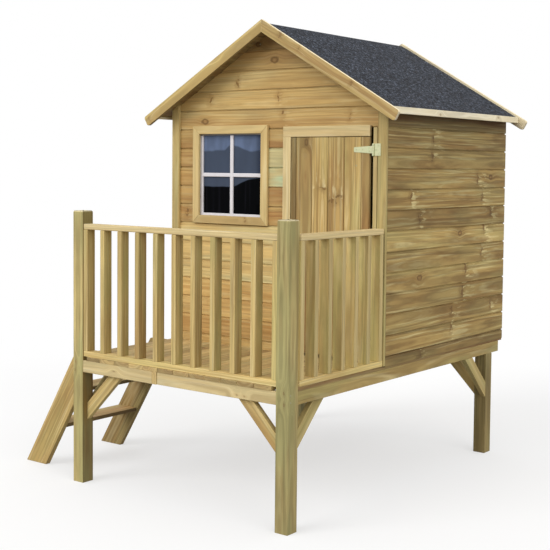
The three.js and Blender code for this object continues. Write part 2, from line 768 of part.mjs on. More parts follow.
function addRoof(parent) {
  const length = shrink([bargeBack, rearWallFace]);
  const feltTop = (x) => roofLine(bargeReveal, x);
  const feltUnder = (x) => roofLine(bargeReveal + feltThickness, x);
  const feltEnd = eaveEnd - relief;
  place(parent, 'roof_felt', looks.felt, push([
    [-feltEnd, feltTop(feltEnd)], [0, feltTop(0)], [feltEnd, feltTop(feltEnd)],
    [feltEnd, feltUnder(feltEnd)], [0, feltUnder(0)], [-feltEnd, feltUnder(feltEnd)],
  ], 'y', length));

  const bargeStarts = { front: bargeFront, rear: rearWallFace + relief };
  for (const [side, sign] of Object.entries(sides)) {
    place(parent, `roof_boards_${side}`, looks.pine, push(roofBoardOutline(sign), 'y', length));
    const fasciaTop = feltTop(eaveEnd);
    board(parent, `eave_fascia_${side}`, looks.palePine, span(sign * eaveEnd, sign * fasciaFace),
      [bargeBack, rearWallFace], [fasciaTop - fasciaHeight, fasciaTop]);
    for (const [end, start] of Object.entries(bargeStarts)) {
      const barge = place(parent, `barge_${end}_${side}`, looks.palePine,
        pushShape(bargeShape(sign), 'y', [0, bargeThickness - relief], edgeEase));
      barge.position.set(0, start, ridgeHeight);
      barge.rotation.y = sign * roofPitch;
    }
  }
}

const playhouse = new THREE.Group();
const layout = new THREE.Group();
playhouse.add(layout);
addPosts(layout);
addBeams(layout);
addDeck(layout);
addBraces(layout);
addRailings(layout);
addLadder(layout);
addWalls(layout);
addFrame(layout);
addTrims(layout);
addWindow(layout);
addDoor(layout);
addRoof(layout);

// The origin lies on the ground under the middle of the outer box.
playhouse.updateMatrixWorld(true);
const outerBox = new THREE.Box3().setFromObject(playhouse, true);
const boxCentre = outerBox.getCenter(new THREE.Vector3());
layout.position.set(-boxCentre.x, -boxCentre.y, -outerBox.min.z);

export default playhouse;
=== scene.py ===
"""Looks of the stilt playhouse: every board, the felt, the ironmongery, the window and the studio.

Lengths are in metres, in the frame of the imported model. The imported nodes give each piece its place.
Each sub-assembly is a class that models its pieces and dresses them. A board carries attributes:
grain, its own coordinates in the tree it was sawn from; tint, its brightness, redness and greenness;
end, which is one on its sawn ends; and the places of up to three knots.
"""

from __future__ import annotations

import logging
import math
import random
from collections.abc import Callable, Sequence
from dataclasses import dataclass, field, replace
from enum import Enum

import bpy
import numpy as np
from mathutils import Matrix, Vector


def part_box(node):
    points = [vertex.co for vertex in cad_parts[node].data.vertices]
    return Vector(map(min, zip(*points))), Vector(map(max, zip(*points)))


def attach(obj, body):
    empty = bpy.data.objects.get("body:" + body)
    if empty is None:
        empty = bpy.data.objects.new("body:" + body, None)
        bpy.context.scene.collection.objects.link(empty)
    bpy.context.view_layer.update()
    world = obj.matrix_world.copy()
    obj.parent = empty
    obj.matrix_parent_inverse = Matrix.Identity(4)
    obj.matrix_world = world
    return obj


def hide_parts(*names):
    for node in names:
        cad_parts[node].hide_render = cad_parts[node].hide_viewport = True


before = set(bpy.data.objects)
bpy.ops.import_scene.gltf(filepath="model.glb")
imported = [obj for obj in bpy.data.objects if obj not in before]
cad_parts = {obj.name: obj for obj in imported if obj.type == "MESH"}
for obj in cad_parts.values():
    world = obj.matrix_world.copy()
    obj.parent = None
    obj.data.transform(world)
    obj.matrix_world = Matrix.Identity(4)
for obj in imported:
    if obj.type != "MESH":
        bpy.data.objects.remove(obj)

LOG = logging.getLogger("playhouse")
HOUSE = "playhouse"
DOOR = "door"
X_AXIS = Vector((1.0, 0.0, 0.0))
Y_AXIS = Vector((0.0, 1.0, 0.0))
Z_AXIS = Vector((0.0, 0.0, 1.0))
AXES = (X_AXIS, Y_AXIS, Z_AXIS)
KNOT_SLOTS = ("knot_a", "knot_b", "knot_c")

Colour = tuple[float, float, float]
Triple = tuple[float, float, float]
Pair = tuple[float, float]
Piece = bpy.types.Object
Socket = bpy.types.NodeSocket
Tree = bpy.types.NodeTree
Material = bpy.types.Material
EdgeTest = Callable[[Vector, Vector], bool]
SectionPlace = Callable[[float, float], Vector]


class Slot(Enum):
    """The record's material slots."""

    PINE = "pine"
    SIDE_PINE = "side_pine"
    GREEN_PINE = "green_pine"
    PALE_PINE = "pale_pine"
    WHITE_PAINT = "white_paint"
    ZINC = "zinc"
    FELT = "felt"
    GLASS = "glass"


class Wood(Enum):
    """The looks that a board can have."""

    SIDING = "siding_pine"
    SIDE_SIDING = "side_siding_pine"
    POST = "post_pine"
    REAR_POST = "rear_post_pine"
    TRIM = "trim_pine"
    HAND_RAIL = "hand_rail_pine"
    BARGE = "barge_pine"
    EAVE = "eave_pine"
    RAIL = "rail_pine"
    LADDER = "ladder_pine"
    FLOOR = "floor_pine"
    DOOR = "door_pine"
    FRAME = "frame_pine"


@dataclass(frozen=True)
class Tone:
    """How one board differs from its neighbours."""

    light: float = 1.0
    red: float = 0.0
    green: float = 0.0


@dataclass(frozen=True)
class Knot:
    """A branch knot, placed from the middle of its board."""

    along: float
    across: float
    radius: float = 0.008
    ragged: bool = False


@dataclass(frozen=True)
class Cut:
    """A saw cut: what lies on the normal's side of the plane goes."""

    point: Vector
    normal: Vector


@dataclass(frozen=True)
class Span:
    """A stretch along one axis."""

    low: float
    high: float

    @property
    def middle(self) -> float:
        """Halfway along."""
        return (self.low + self.high) / 2

    @property
    def length(self) -> float:
        """How long it is."""
        return self.high - self.low


def spans_of(node: str) -> tuple[Span, Span, Span]:
    """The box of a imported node, as its stretches along X, Y and Z."""
    low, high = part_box(node)
    return tuple(Span(low[i], high[i]) for i in range(3))


@dataclass
class Sheet:
    """A node tree, with short ways to add nodes and join them.

    A value given to its methods is an output socket, a number, a colour or a vector.
    """

    tree: Tree

    def put(self, socket: Socket, value: object) -> None:
        """Links a socket, or sets its plain value, a colour with full alpha."""
        if isinstance(value, bpy.types.NodeSocket):
            self.tree.links.new(value, socket)
        else:
            socket.default_value = (*value, 1.0) if socket.type == "RGBA" else value

    def node(self, kind: str, inputs: dict | None = None, **settings: object) -> bpy.types.Node:
        """Adds a node.

        Args:
            kind: The node's type name, without its ShaderNode prefix.
            inputs: Socket name or index to value.
            **settings: The node's own properties.

        Returns:
            The new node.
        """
        made = self.tree.nodes.new(f"ShaderNode{kind}")
        for name, value in settings.items():
            setattr(made, name, value)
        for key, value in (inputs or {}).items():
            self.put(made.inputs[key], value)
        return made

    def math(self, operation: str, *values: object, clamp: bool = False) -> Socket:
        """Adds a Math node and returns its value."""
        made = self.node("Math", dict(enumerate(values)), operation=operation, use_clamp=clamp)
        return made.outputs[0]

    def times(self, first: object, second: object) -> Socket:
        """Multiplies two values."""
        return self.math("MULTIPLY", first, second)

    def line(self, value: object, slope: object, start: object) -> Socket:
        """Multiplies a value by a slope and adds a start."""
        return self.math("MULTIPLY_ADD", value, slope, start)

    def vectors(self, operation: str, first: object, second: object) -> Socket:
        """Adds a Vector Math node and returns its vector."""
        return self.node("VectorMath", {0: first, 1: second}, operation=operation).outputs[0]

    def length(self, vector: object) -> Socket:
        """Measures a vector."""
        return self.node("VectorMath", {0: vector}, operation="LENGTH").outputs["Value"]

    def vector(self, x: object, y: object, z: object = 0.0) -> Socket:
        """Joins three values to a vector."""
        return self.node("CombineXYZ", {0: x, 1: y, 2: z}).outputs[0]

    def parts(self, vector: object) -> Sequence[Socket]:
        """Splits a vector into its three values."""
        return self.node("SeparateXYZ", {0: vector}).outputs

    def place(self) -> Socket:
        """Reads the place on the model, in metres."""
        return self.node("TexCoord").outputs["Object"]

    def attribute(self, name: str, output: str = "Vector") -> Socket:
        """Reads one of the piece's attributes."""
        return self.node("Attribute", attribute_name=name).outputs[output]

    def noise(self, vector: object, scale: Triple, detail: float = 2.0, output: int = 0) -> Socket:
        """Adds a noise texture with so many waves a metre along each axis."""
        place = self.vectors("MULTIPLY", vector, scale)
        return self.node("TexNoise", {"Vector": place, "Scale": 1.0, "Detail": detail}).outputs[output]

    def ramp(self, value: object, start: float, end: float,
             low: float = 0.0, high: float = 1.0) -> Socket:
        """Maps a value smoothly from one range to another, clamped."""
        return self.node("MapRange", {0: value, 1: start, 2: end, 3: low, 4: high},
                         interpolation_type="SMOOTHSTEP").outputs[0]

    def fall(self, value: object, start: float, end: float) -> Socket:
        """Maps a range smoothly down from one to zero."""
        return self.ramp(value, start, end, 1.0, 0.0)

    def blend(self, factor: object, first: object, second: object, mode: str = "MIX") -> Socket:
        """Mixes two colours and returns the result."""
        made = self.node("Mix", {0: factor, 6: first, 7: second}, data_type="RGBA", blend_type=mode)
        return made.outputs[2]

    def group(self, tree: Tree, inputs: dict) -> Sequence[Socket]:
        """Places a node group with its own values.

        Args:
            tree: The group's tree.
            inputs: Socket name to value.

        Returns:
            The group's outputs.
        """
        made = self.node("Group", node_tree=tree)
        for key, value in inputs.items():
            self.put(made.inputs[key], value)
        return made.outputs

    def bump(self, height: object, distance: float, strength: float) -> Socket:
        """Adds a Bump node and returns its normal."""
        made = self.node("Bump", {"Height": height, "Distance": distance, "Strength": strength})
        return made.outputs[0]

    def straight(self) -> Socket:
        """Tells rays that see the background directly or through metal and glass.

        Returns:
            One on such rays and zero on the rest.
        """
        seen = self.node("LightPath").outputs
        straight = self.math("MAXIMUM", seen["Is Camera Ray"], seen["Is Glossy Ray"])
        return self.math("MAXIMUM", straight, seen["Is Transmission Ray"])


def new_group(name: str, inputs: Sequence[str], outputs: Sequence[str]) -> tuple:
    """Makes an empty shader node group.

    Args:
        name: The group's name.
        inputs: The names of its inputs, which are vectors but for the bulge.
        outputs: The names of its outputs, which are plain values.

    Returns:
        The tree, its sheet, the input node's outputs and the output node's inputs.
    """
    tree = bpy.data.node_groups.new(name, "ShaderNodeTree")
    for label in inputs:
        kind = "NodeSocketFloat" if label == "Bulge" else "NodeSocketVector"
        tree.interface.new_socket(label, in_out="INPUT", socket_type=kind)
    for label in outputs:
        tree.interface.new_socket(label, in_out="OUTPUT", socket_type="NodeSocketFloat")
    entry = tree.nodes.new("NodeGroupInput")
    leave = tree.nodes.new("NodeGroupOutput")
    return tree, Sheet(tree), entry.outputs, leave.inputs


@dataclass(frozen=True)
class KnotPattern:
    """One branch knot: a round one, or a ragged one across the board with pale flecks beside it.

    Its place has a negative radius where it is ragged. A pair is the start and the end of a soft
    edge, in the knot's own radii or, on a noise, in that noise's values. An oval is how much a way
    along the grain counts against one across it. Scales are in waves a metre.
    """

    wave_scale: Triple = (38.0, 38.0, 38.0)
    wave_size: Triple = (0.02, 0.012, 0.0)
    ragged_wave: float = 1.6
    ragged_radius: float = 0.43
    ragged_length: float = 0.2
    ragged_bulge: float = 0.3
    gap_scale: Triple = (50.0, 60.0, 0.0)
    gap_edge: Pair = (0.38, 0.52)
    oval: float = 0.62
    edge: Pair = (0.7, 1.15)
    eye_edge: Pair = (0.2, 0.8)
    eye_share: float = 0.45
    rim_start: Pair = (0.55, 0.9)
    rim_end: Pair = (1.0, 1.4)
    halo_oval: float = 0.35
    halo_edge: Pair = (0.5, 3.4)
    fleck_start: Pair = (0.2, 1.4)
    fleck_end: Pair = (1.0, 15.0)
    flake_scale: Triple = (13.0, 60.0, 60.0)
    flake_edge: Pair = (0.515, 0.61)
    bulge: float = 0.01
    bulge_reach: float = 0.05
    bulge_oval: float = 0.7

    def build(self) -> Tree:
        """Makes the group.

        Returns:
            Its tree, with masks of the knot, its rim, halo and flecks, and the push on the rings.
        """
        tree, sheet, entry, leave = new_group(
            "Knot", ("Grain", "Place"), ("Knot", "Rim", "Halo", "Fleck", "Bulge"))
        grain, heart = entry["Grain"], entry["Place"]
        signed = sheet.parts(heart)[2]
        ragged = sheet.math("LESS_THAN", signed, 0.0)
        radius = sheet.math("ABSOLUTE", signed)

        def where_ragged(share: float) -> Socket:
            """One on a round knot, and the share on a ragged one."""
            return sheet.line(ragged, share - 1.0, 1.0)

        wave = sheet.noise(grain, self.wave_scale, 3.0, output=1)
        wave = sheet.vectors("SUBTRACT", wave, (0.5, 0.5, 0.5))
        wave = sheet.vectors("MULTIPLY", wave, self.wave_size)
        wave = sheet.vectors("MULTIPLY", wave, where_ragged(1.0 + self.ragged_wave))
        bent = sheet.vectors("ADD", grain, wave)
        offset = sheet.parts(sheet.vectors("SUBTRACT", bent, heart))
        narrow = sheet.times(radius, where_ragged(self.ragged_radius))
        across = sheet.times(offset[1], where_ragged(self.ragged_length))
        broken = sheet.ramp(sheet.noise(grain, self.gap_scale, 3.0), *self.gap_edge)
        whole = sheet.line(ragged, sheet.math("ADD", broken, -1.0), 1.0)

        def distance(oval: float) -> Socket:
            """Measures from the knot's heart, in its own radii, with the way along scaled."""
            away = sheet.length(sheet.vector(sheet.times(offset[0], oval), across))
            return sheet.math("DIVIDE", away, narrow)

        near = distance(self.oval)
        eye = sheet.math("MAXIMUM", ragged, sheet.ramp(near, *self.eye_edge, self.eye_share, 1.0))
        knot = sheet.times(sheet.times(whole, sheet.fall(near, *self.edge)), eye)
        rim = sheet.times(sheet.ramp(near, *self.rim_start), sheet.fall(near, *self.rim_end))
        side = sheet.math("DIVIDE", offset[0], radius)
        flame = sheet.times(sheet.ramp(side, *self.fleck_start), sheet.fall(side, *self.fleck_end))
        flakes = sheet.ramp(sheet.noise(grain, self.flake_scale, 4.0), *self.flake_edge)
        apart = sheet.length(sheet.vector(sheet.times(offset[0], self.bulge_oval), offset[1]))
        bulge = sheet.ramp(apart, 0.0, self.bulge_reach, self.bulge, 0.0)
        for name, value in (
                ("Knot", knot), ("Rim", sheet.times(rim, whole)),
                ("Halo", sheet.fall(distance(self.halo_oval), *self.halo_edge)),
                ("Fleck", sheet.times(sheet.times(flame, flakes), ragged)),
                ("Bulge", sheet.times(bulge, where_ragged(self.ragged_bulge)))):
            sheet.put(leave[name], value)
        return tree


@dataclass(frozen=True)
class Contour:
    """A mask that is drawn out along the fibres and follows the rings.

    It has so many waves a metre along the fibres, and its edge is a pair of noise values.
    """

    waves: float
    width: float
    shift: float
    edge: Pair


@dataclass(frozen=True)
class RingPattern:
    """Growth rings round the tree's pith, with bands and streaks that follow them."""

    spacing: float = 0.0046
    wander_scale: Triple = (1.2, 5.0, 5.0)
    meander: float = 0.02
    quiver_scale: Triple = (9.0, 22.0, 22.0)
    ripple: float = 0.0035
    late_power: float = 2.2
    late_end: Pair = (0.88, 1.0)
    late_rest: float = 0.1
    contours: tuple[tuple[str, Contour], ...] = (
        ("Band", Contour(1.6, 0.011, 0.0, (0.45, 0.6))),
        ("Pale", Contour(2.6, 0.009, 40.0, (0.51, 0.62))),
        ("Streak", Contour(2.6, 0.006, 80.0, (0.36, 0.64))))
    fibre_scale: Triple = (14.0, 520.0, 520.0)
    crack_scale: Triple = (1.1, 95.0, 95.0)
    crack_edge: Pair = (0.71, 0.75)
    heart_edge: Pair = (0.062, 0.076)
    heart_rest: float = 0.25

    def build(self) -> Tree:
        """Makes the group.

        Returns:
            Its tree: late wood, bands, pale bands, streaks, fibre, drying cracks and heart wood.
        """
        tree, sheet, entry, leave = new_group(
            "GrowthRings", ("Grain", "Bulge"),
            ("Ring", "Band", "Pale", "Streak", "Fibre", "Crack", "Heart"))
        grain = entry["Grain"]
        along, across, square = sheet.parts(grain)
        away = sheet.length(sheet.vector(across, square))
        radius = sheet.line(sheet.noise(grain, self.wander_scale), self.meander, away)
        radius = sheet.line(sheet.noise(grain, self.quiver_scale), self.ripple, radius)
        radius = sheet.math("ADD", radius, entry["Bulge"])
        turn = sheet.math("FRACT", sheet.math("DIVIDE", radius, self.spacing))
        late = sheet.math("POWER", turn, self.late_power)
        ring = sheet.times(late, sheet.ramp(turn, *self.late_end, 1.0, self.late_rest))
        split = sheet.noise(grain, self.crack_scale, 1.0)
        for name, value in (
                ("Ring", ring), ("Fibre", sheet.noise(grain, self.fibre_scale)),
                ("Crack", sheet.ramp(split, *self.crack_edge)),
                ("Heart", sheet.ramp(radius, *self.heart_edge, 1.0, self.heart_rest))):
            sheet.put(leave[name], value)
        for name, mask in self.contours:
            place = sheet.vector(along, sheet.line(radius, 1 / mask.width, mask.shift))
            grown = sheet.noise(place, (mask.waves, 1.0, 1.0), 4.0)
            sheet.put(leave[name], sheet.ramp(grown, *mask.edge))
        return tree


@dataclass(frozen=True)
class StainPattern:
    """What pressure treatment leaves: green patches and darker ones."""

    green_scale: Triple = (2.2, 13.0, 13.0)
    green_edge: Pair = (0.42, 0.66)
    dark_scale: Triple = (3.2, 17.0, 17.0)
    dark_edge: Pair = (0.48, 0.74)

    def build(self) -> Tree:
        """Makes the group.

        Returns:
            Its tree, with masks of the green and of the dark patches.
        """
        tree, sheet, entry, leave = new_group("TreatmentStain", ("Grain",), ("Green", "Dark"))
        green = sheet.noise(entry["Grain"], self.green_scale)
        dark = sheet.noise(entry["Grain"], self.dark_scale, 4.0)
        sheet.put(leave["Green"], sheet.ramp(green, *self.green_edge))
        sheet.put(leave["Dark"], sheet.ramp(dark, *self.dark_edge))
        return tree


def new_material(name: str) -> tuple:
    """Makes a material with a plain Principled shader.

    Args:
        name: The material's name.

    Returns:
        The material, its sheet and its shader's inputs.
    """
    material = bpy.data.materials.new(name)
    material.use_nodes = True
    shader = material.node_tree.nodes["Principled BSDF"]
    return material, Sheet(material.node_tree), shader.inputs


@dataclass(frozen=True)
class WoodFinish:
    """One finish of planed pine.

    A share is how far a mask takes the wood to its colour, and a swing is a range about the middle.
    """

    wood: Wood
    base: Colour
    late: Colour = (0.27, 0.155, 0.052)
    heart: Colour = (0.34, 0.155, 0.05)
    green: Colour = (0.36, 0.36, 0.15)
    pale: Colour = (0.66, 0.55, 0.3)
    knot: Colour = (0.24, 0.13, 0.045)
    crack: Colour = (0.1, 0.052, 0.02)
    end: Colour = (0.5, 0.4, 0.2)
    ring_share: float = 0.22
    band_share: float = 0.5
    band_heart_share: float = 0.4
    dark_share: float = 0.3
    green_share: float = 0.2
    patch_share: float = 0.7
    pale_share: float = 0.45
    crack_share: float = 0.3
    knot_share: float = 0.5
    rim_share: float = 0.42
    halo_share: float = 0.42
    fleck_share: float = 0.3
    end_share: float = 0.45
    streak_swing: float = 0.22
    fibre_swing: float = 0.2
    # Darker towards the foot: damp on the posts, and painted shade on the door behind the side railing.
    damp_and_shade_foot: float = 0.0
    damp_and_shade_edge: Pair = (0.1, 0.9)
    roughness: float = 0.72
    rough_swing: float = 0.22
    ring_relief: float = 0.35
    crack_relief: float = -2.5
    rim_relief: float = -0.8
    relief: Pair = (0.0004, 0.7)
    specular: float = 0.3

    def build(self, rings: Tree, knots: Tree, stain: Tree) -> Material:
        """Makes the material.

        Args:
            rings: The growth ring group.
            knots: The knot group.
            stain: The treatment stain group.

        Returns:
            The finished material.
        """
        material, sheet, shader = new_material(self.wood.value)
        grain = sheet.attribute("grain")
        light, red, mossy = sheet.parts(sheet.attribute("tint"))
        marks = [sheet.group(knots, {"Grain": grain, "Place": sheet.attribute(name)})
                 for name in KNOT_SLOTS]

        def strongest(name: str) -> Socket:
            """The strongest of the knots' masks."""
            first = sheet.math("MAXIMUM", marks[0][name], marks[1][name])
            return sheet.math("MAXIMUM", first, marks[2][name])

        ring = sheet.group(rings, {"Grain": grain, "Bulge": strongest("Bulge")})
        patch = sheet.group(stain, {"Grain": grain})
        band = sheet.line(ring["Band"], self.band_heart_share, 1.0 - self.band_heart_share)
        heart = sheet.times(sheet.math("MULTIPLY", red, band, clamp=True), ring["Heart"])
        moss = sheet.line(patch["Green"], self.patch_share, 1.0 - self.patch_share)
        moss = sheet.line(patch["Green"], self.green_share, sheet.times(moss, mossy))
        colour = self.base
        for mask, share, layer in (
                (ring["Pale"], self.pale_share, self.pale), (ring["Band"], self.band_share, self.late),
                (heart, 1.0, self.heart), (patch["Dark"], self.dark_share, self.late),
                (ring["Ring"], self.ring_share, self.late), (moss, 1.0, self.green),
                (strongest("Halo"), self.halo_share, self.late),
                (strongest("Fleck"), self.fleck_share, self.pale),
                (strongest("Knot"), self.knot_share, self.knot),
                (strongest("Rim"), self.rim_share, self.crack),
                (sheet.attribute("end", "Fac"), self.end_share, self.end),
                (ring["Crack"], self.crack_share, self.crack)):
            colour = sheet.blend(sheet.math("MULTIPLY", mask, share, clamp=True), colour, layer)
        middle = 1.0 - (self.fibre_swing + self.streak_swing) / 2
        level = sheet.line(ring["Fibre"], self.fibre_swing, middle)
        level = sheet.line(ring["Streak"], self.streak_swing, level)
        # Darker towards the foot by height: damp, and on the door painted shade.
        height = sheet.parts(sheet.place())[2]
        damp_and_shade = sheet.ramp(height, *self.damp_and_shade_edge, 1.0 - self.damp_and_shade_foot, 1.0)
        level = sheet.times(sheet.times(level, light), damp_and_shade)
        grey = sheet.vector(level, level, level)
        sheet.put(shader["Base Color"], sheet.blend(1.0, colour, grey, "MULTIPLY"))
        dry = sheet.line(ring["Fibre"], self.rough_swing, self.roughness - self.rough_swing / 2)
        sheet.put(shader["Roughness"], dry)
        relief = sheet.line(ring["Ring"], self.ring_relief, ring["Fibre"])
        relief = sheet.line(ring["Crack"], self.crack_relief, relief)
        relief = sheet.line(strongest("Rim"), self.rim_relief, relief)
        sheet.put(shader["Normal"], sheet.bump(relief, *self.relief))
        shader["Specular IOR Level"].default_value = self.specular
        return material


@dataclass(frozen=True)
class FeltFinish:
    """Roofing felt covered in slate granules, with scattered pale and rusty ones."""

    grit_scale: float = 520.0
    granule_scale: float = 125.0
    granule_share: float = 0.6
    tar: Colour = (0.0006, 0.001, 0.0026)
    slate: Colour = (0.036, 0.041, 0.054)
    slate_edge: Pair = (0.3, 0.7)
    spark: Colour = (0.16, 0.19, 0.25)
    spark_edge: Pair = (0.78, 0.92)
    spark_share: float = 0.62
    rust: Colour = (0.075, 0.06, 0.055)
    rust_edge: Pair = (0.9, 0.97)
    rust_share: float = 0.5
    dust: Colour = (0.018, 0.021, 0.029)
    dust_scale: Triple = (9.0, 9.0, 9.0)
    dust_edge: Pair = (0.35, 0.75)
    dust_share: float = 0.35
    roughness: Pair = (0.82, 0.98)
    relief: Pair = (0.0012, 0.8)
    specular: float = 0.25

    def build(self) -> Material:
        """Makes the material.

        Returns:
            The finished material.
        """
        material, sheet, shader = new_material("roofing_felt")
        place = sheet.place()
        grit = sheet.node("TexVoronoi", {"Vector": place, "Scale": self.grit_scale}).outputs
        coarse = sheet.node("TexVoronoi", {"Vector": place, "Scale": self.granule_scale}).outputs
        fine = sheet.node("SeparateColor", {0: grit["Color"]}).outputs
        large = sheet.node("SeparateColor", {0: coarse["Color"]}).outputs
        mixed = sheet.line(large[0], self.granule_share, sheet.times(fine[0], 1.0 - self.granule_share))
        colour = sheet.blend(sheet.ramp(mixed, *self.slate_edge), self.tar, self.slate)
        cloud = sheet.noise(place, self.dust_scale, 4.0)
        for source, edge, share, layer in (
                (large[1], self.spark_edge, self.spark_share, self.spark),
                (large[2], self.rust_edge, self.rust_share, self.rust),
                (cloud, self.dust_edge, self.dust_share, self.dust)):
            colour = sheet.blend(sheet.ramp(source, *edge, 0.0, share), colour, layer)
        sheet.put(shader["Base Color"], colour)
        sheet.put(shader["Roughness"], sheet.ramp(fine[1], 0.0, 1.0, *self.roughness))
        height = sheet.math("SUBTRACT", 1.0, grit["Distance"])
        sheet.put(shader["Normal"], sheet.bump(height, *self.relief))
        shader["Specular IOR Level"].default_value = self.specular
        return material


@dataclass(frozen=True)
class PaintFinish:
    """White paint over planed wood, a little uneven and dusty, with a painted shadow along the sash's head
    under the trim.
    """

    head: float
    white: Colour = (0.7, 0.68, 0.71)
    dusty: Colour = (0.52, 0.5, 0.5)
    dust_scale: Triple = (12.0, 12.0, 12.0)
    dust_edge: Pair = (0.5, 0.8)
    dust_share: float = 0.35
    # Painted shadow: the head trim's shade, painted in as a dark band along the top of the sash.
    painted_head_shadow: Colour = (0.14, 0.13, 0.12)
    head_shadow_depth: Pair = (0.0205, 0.0185)
    head_shadow_share: float = 0.85
    brush_scale: Triple = (60.0, 60.0, 14.0)
    brush_edge: Pair = (0.2, 0.8)
    roughness: Pair = (0.34, 0.5)
    relief: Pair = (0.0003, 0.5)

    def build(self) -> Material:
        """Makes the material.

        Returns:
            The finished material.
        """
        material, sheet, shader = new_material("white_paint")
        place = sheet.place()
        brush = sheet.noise(place, self.brush_scale, 3.0)
        dust = sheet.ramp(sheet.noise(place, self.dust_scale, 3.0), *self.dust_edge, 0.0, self.dust_share)
        # Painted shadow under the head trim, along the sash's top bar.
        under_head = [self.head - depth for depth in self.head_shadow_depth]
        painted_head_shadow = sheet.ramp(sheet.parts(place)[2], *under_head, 0.0, self.head_shadow_share)
        colour = sheet.blend(painted_head_shadow, sheet.blend(dust, self.white, self.dusty), self.painted_head_shadow)
        sheet.put(shader["Base Color"], colour)
        sheet.put(shader["Roughness"], sheet.ramp(brush, *self.brush_edge, *self.roughness))
        sheet.put(shader["Normal"], sheet.bump(brush, *self.relief))
        return material


@dataclass(frozen=True)
class ZincFinish:
    """Passivated zinc plate, its spangles a little greener than the rest."""

    name: str
    colour: Colour
    dull: float
    dull_swing: float = 0.1
    green_share: Triple = (0.86, 1.0, 0.92)
    spangle_scale: Triple = (160.0, 160.0, 160.0)
    spangle_edge: Pair = (0.35, 0.7)
    scratch_scale: Triple = (30.0, 400.0, 900.0)
    scratch_edge: Pair = (0.2, 0.8)
    relief: Pair = (0.0001, 0.4)
    metallic: float = 0.55

    def build(self) -> Material:
        """Makes the material.

        Returns:
            The finished material.
        """
        material, sheet, shader = new_material(self.name)
        place = sheet.place()
        spangle = sheet.ramp(sheet.noise(place, self.spangle_scale, 3.0), *self.spangle_edge)
        scratch = sheet.noise(place, self.scratch_scale)
        green = tuple(part * share for part, share in zip(self.colour, self.green_share))
        sheet.put(shader["Base Color"], sheet.blend(spangle, self.colour, green))
        dull = sheet.ramp(scratch, *self.scratch_edge,
                          self.dull - self.dull_swing, self.dull + self.dull_swing)
        sheet.put(shader["Roughness"], dull)
        sheet.put(shader["Normal"], sheet.bump(scratch, *self.relief))
        shader["Metallic"].default_value = self.metallic
        return material


@dataclass(frozen=True)
class GlassFinish:
    """An opaque pane with a painted reflection of sky over a row of trees, and the unlit room behind it
    painted in as shade.

    A pair is the start and the end of a soft edge, as shares of the pane or values of a noise.
    """

    pane: tuple[Span, Span, Span]
    # Painted shade: the unlit room seen through the pane, with paler patches.
    painted_room_shade: Colour = (0.0014, 0.0016, 0.0022)
    painted_room_patch: Colour = (0.0065, 0.0065, 0.0095)
    fold_scale: Triple = (45.0, 0.0, 1.5)
    fold_edge: Pair = (0.5, 0.75)
    # Painted reflection: leaves under the sky, tree crowns and a hedge line, haze, and a darker band at the
    # pane's right rim.
    reflected_leaves: Colour = (0.06, 0.078, 0.118)
    sky: Colour = (0.132, 0.178, 0.29)
    sky_edge: Pair = (0.762, 0.79)
    crown_scale: Triple = (11.0, 0.0, 4.0)
    crown_rise: Pair = (0.29, 0.43)
    crown_fall: Pair = (0.56, 0.88)
    crown_height: float = 0.06
    hedge_edge: Pair = (0.335, 0.352)
    hedge_rise: Pair = (0.45, 1.0)
    hedge_height: float = 0.11
    hedge_wave: float = 0.02
    reflected_haze: Colour = (0.045, 0.055, 0.08)
    haze_scale: Triple = (16.0, 0.0, 5.0)
    haze_edge: Pair = (0.35, 0.7)
    haze_share: float = 0.35
    rim: Colour = (0.02, 0.026, 0.045)
    rim_edge: Pair = (0.95, 0.995)
    rim_share: float = 0.6
    roughness: float = 0.06
    specular: float = 0.02

    def build(self) -> Material:
        """Makes the material.

        Returns:
            The finished material.
        """
        material, sheet, shader = new_material("window_glass")
        place = sheet.place()
        x, _, z = sheet.parts(place)
        along = sheet.ramp(x, self.pane[0].low, self.pane[0].high)
        height = sheet.math("SUBTRACT", z, self.pane[2].low)
        height = sheet.math("DIVIDE", height, self.pane[2].length)
        wave = sheet.noise(place, self.crown_scale, 1.5)
        crown = sheet.times(sheet.ramp(along, *self.crown_rise), sheet.fall(along, *self.crown_fall))
        above = sheet.line(wave, -self.crown_height, height)
        sky = sheet.ramp(sheet.line(crown, -self.crown_height, above), *self.sky_edge)
        ground = sheet.line(wave, -self.hedge_wave, height)
        ground = sheet.line(sheet.ramp(along, *self.hedge_rise), -self.hedge_height, ground)
        fold = sheet.ramp(sheet.noise(place, self.fold_scale), *self.fold_edge)
        reflected_haze = sheet.noise(place, self.haze_scale, 3.0)
        reflected_haze = sheet.ramp(reflected_haze, *self.haze_edge, 0.0, self.haze_share)
        # The painted reflection, darker at the right rim; below the hedge line lies the painted dark room.
        colour = sheet.blend(reflected_haze, sheet.blend(sky, self.reflected_leaves, self.sky), self.reflected_haze)
        colour = sheet.blend(sheet.ramp(along, *self.rim_edge, 0.0, self.rim_share), colour, self.rim)
        dark = sheet.blend(fold, self.painted_room_shade, self.painted_room_patch)
        sheet.put(shader["Base Color"], sheet.blend(sheet.ramp(ground, *self.hedge_edge), dark, colour))
        shader["Roughness"].default_value = self.roughness
        shader["Specular IOR Level"].default_value = self.specular
        return material


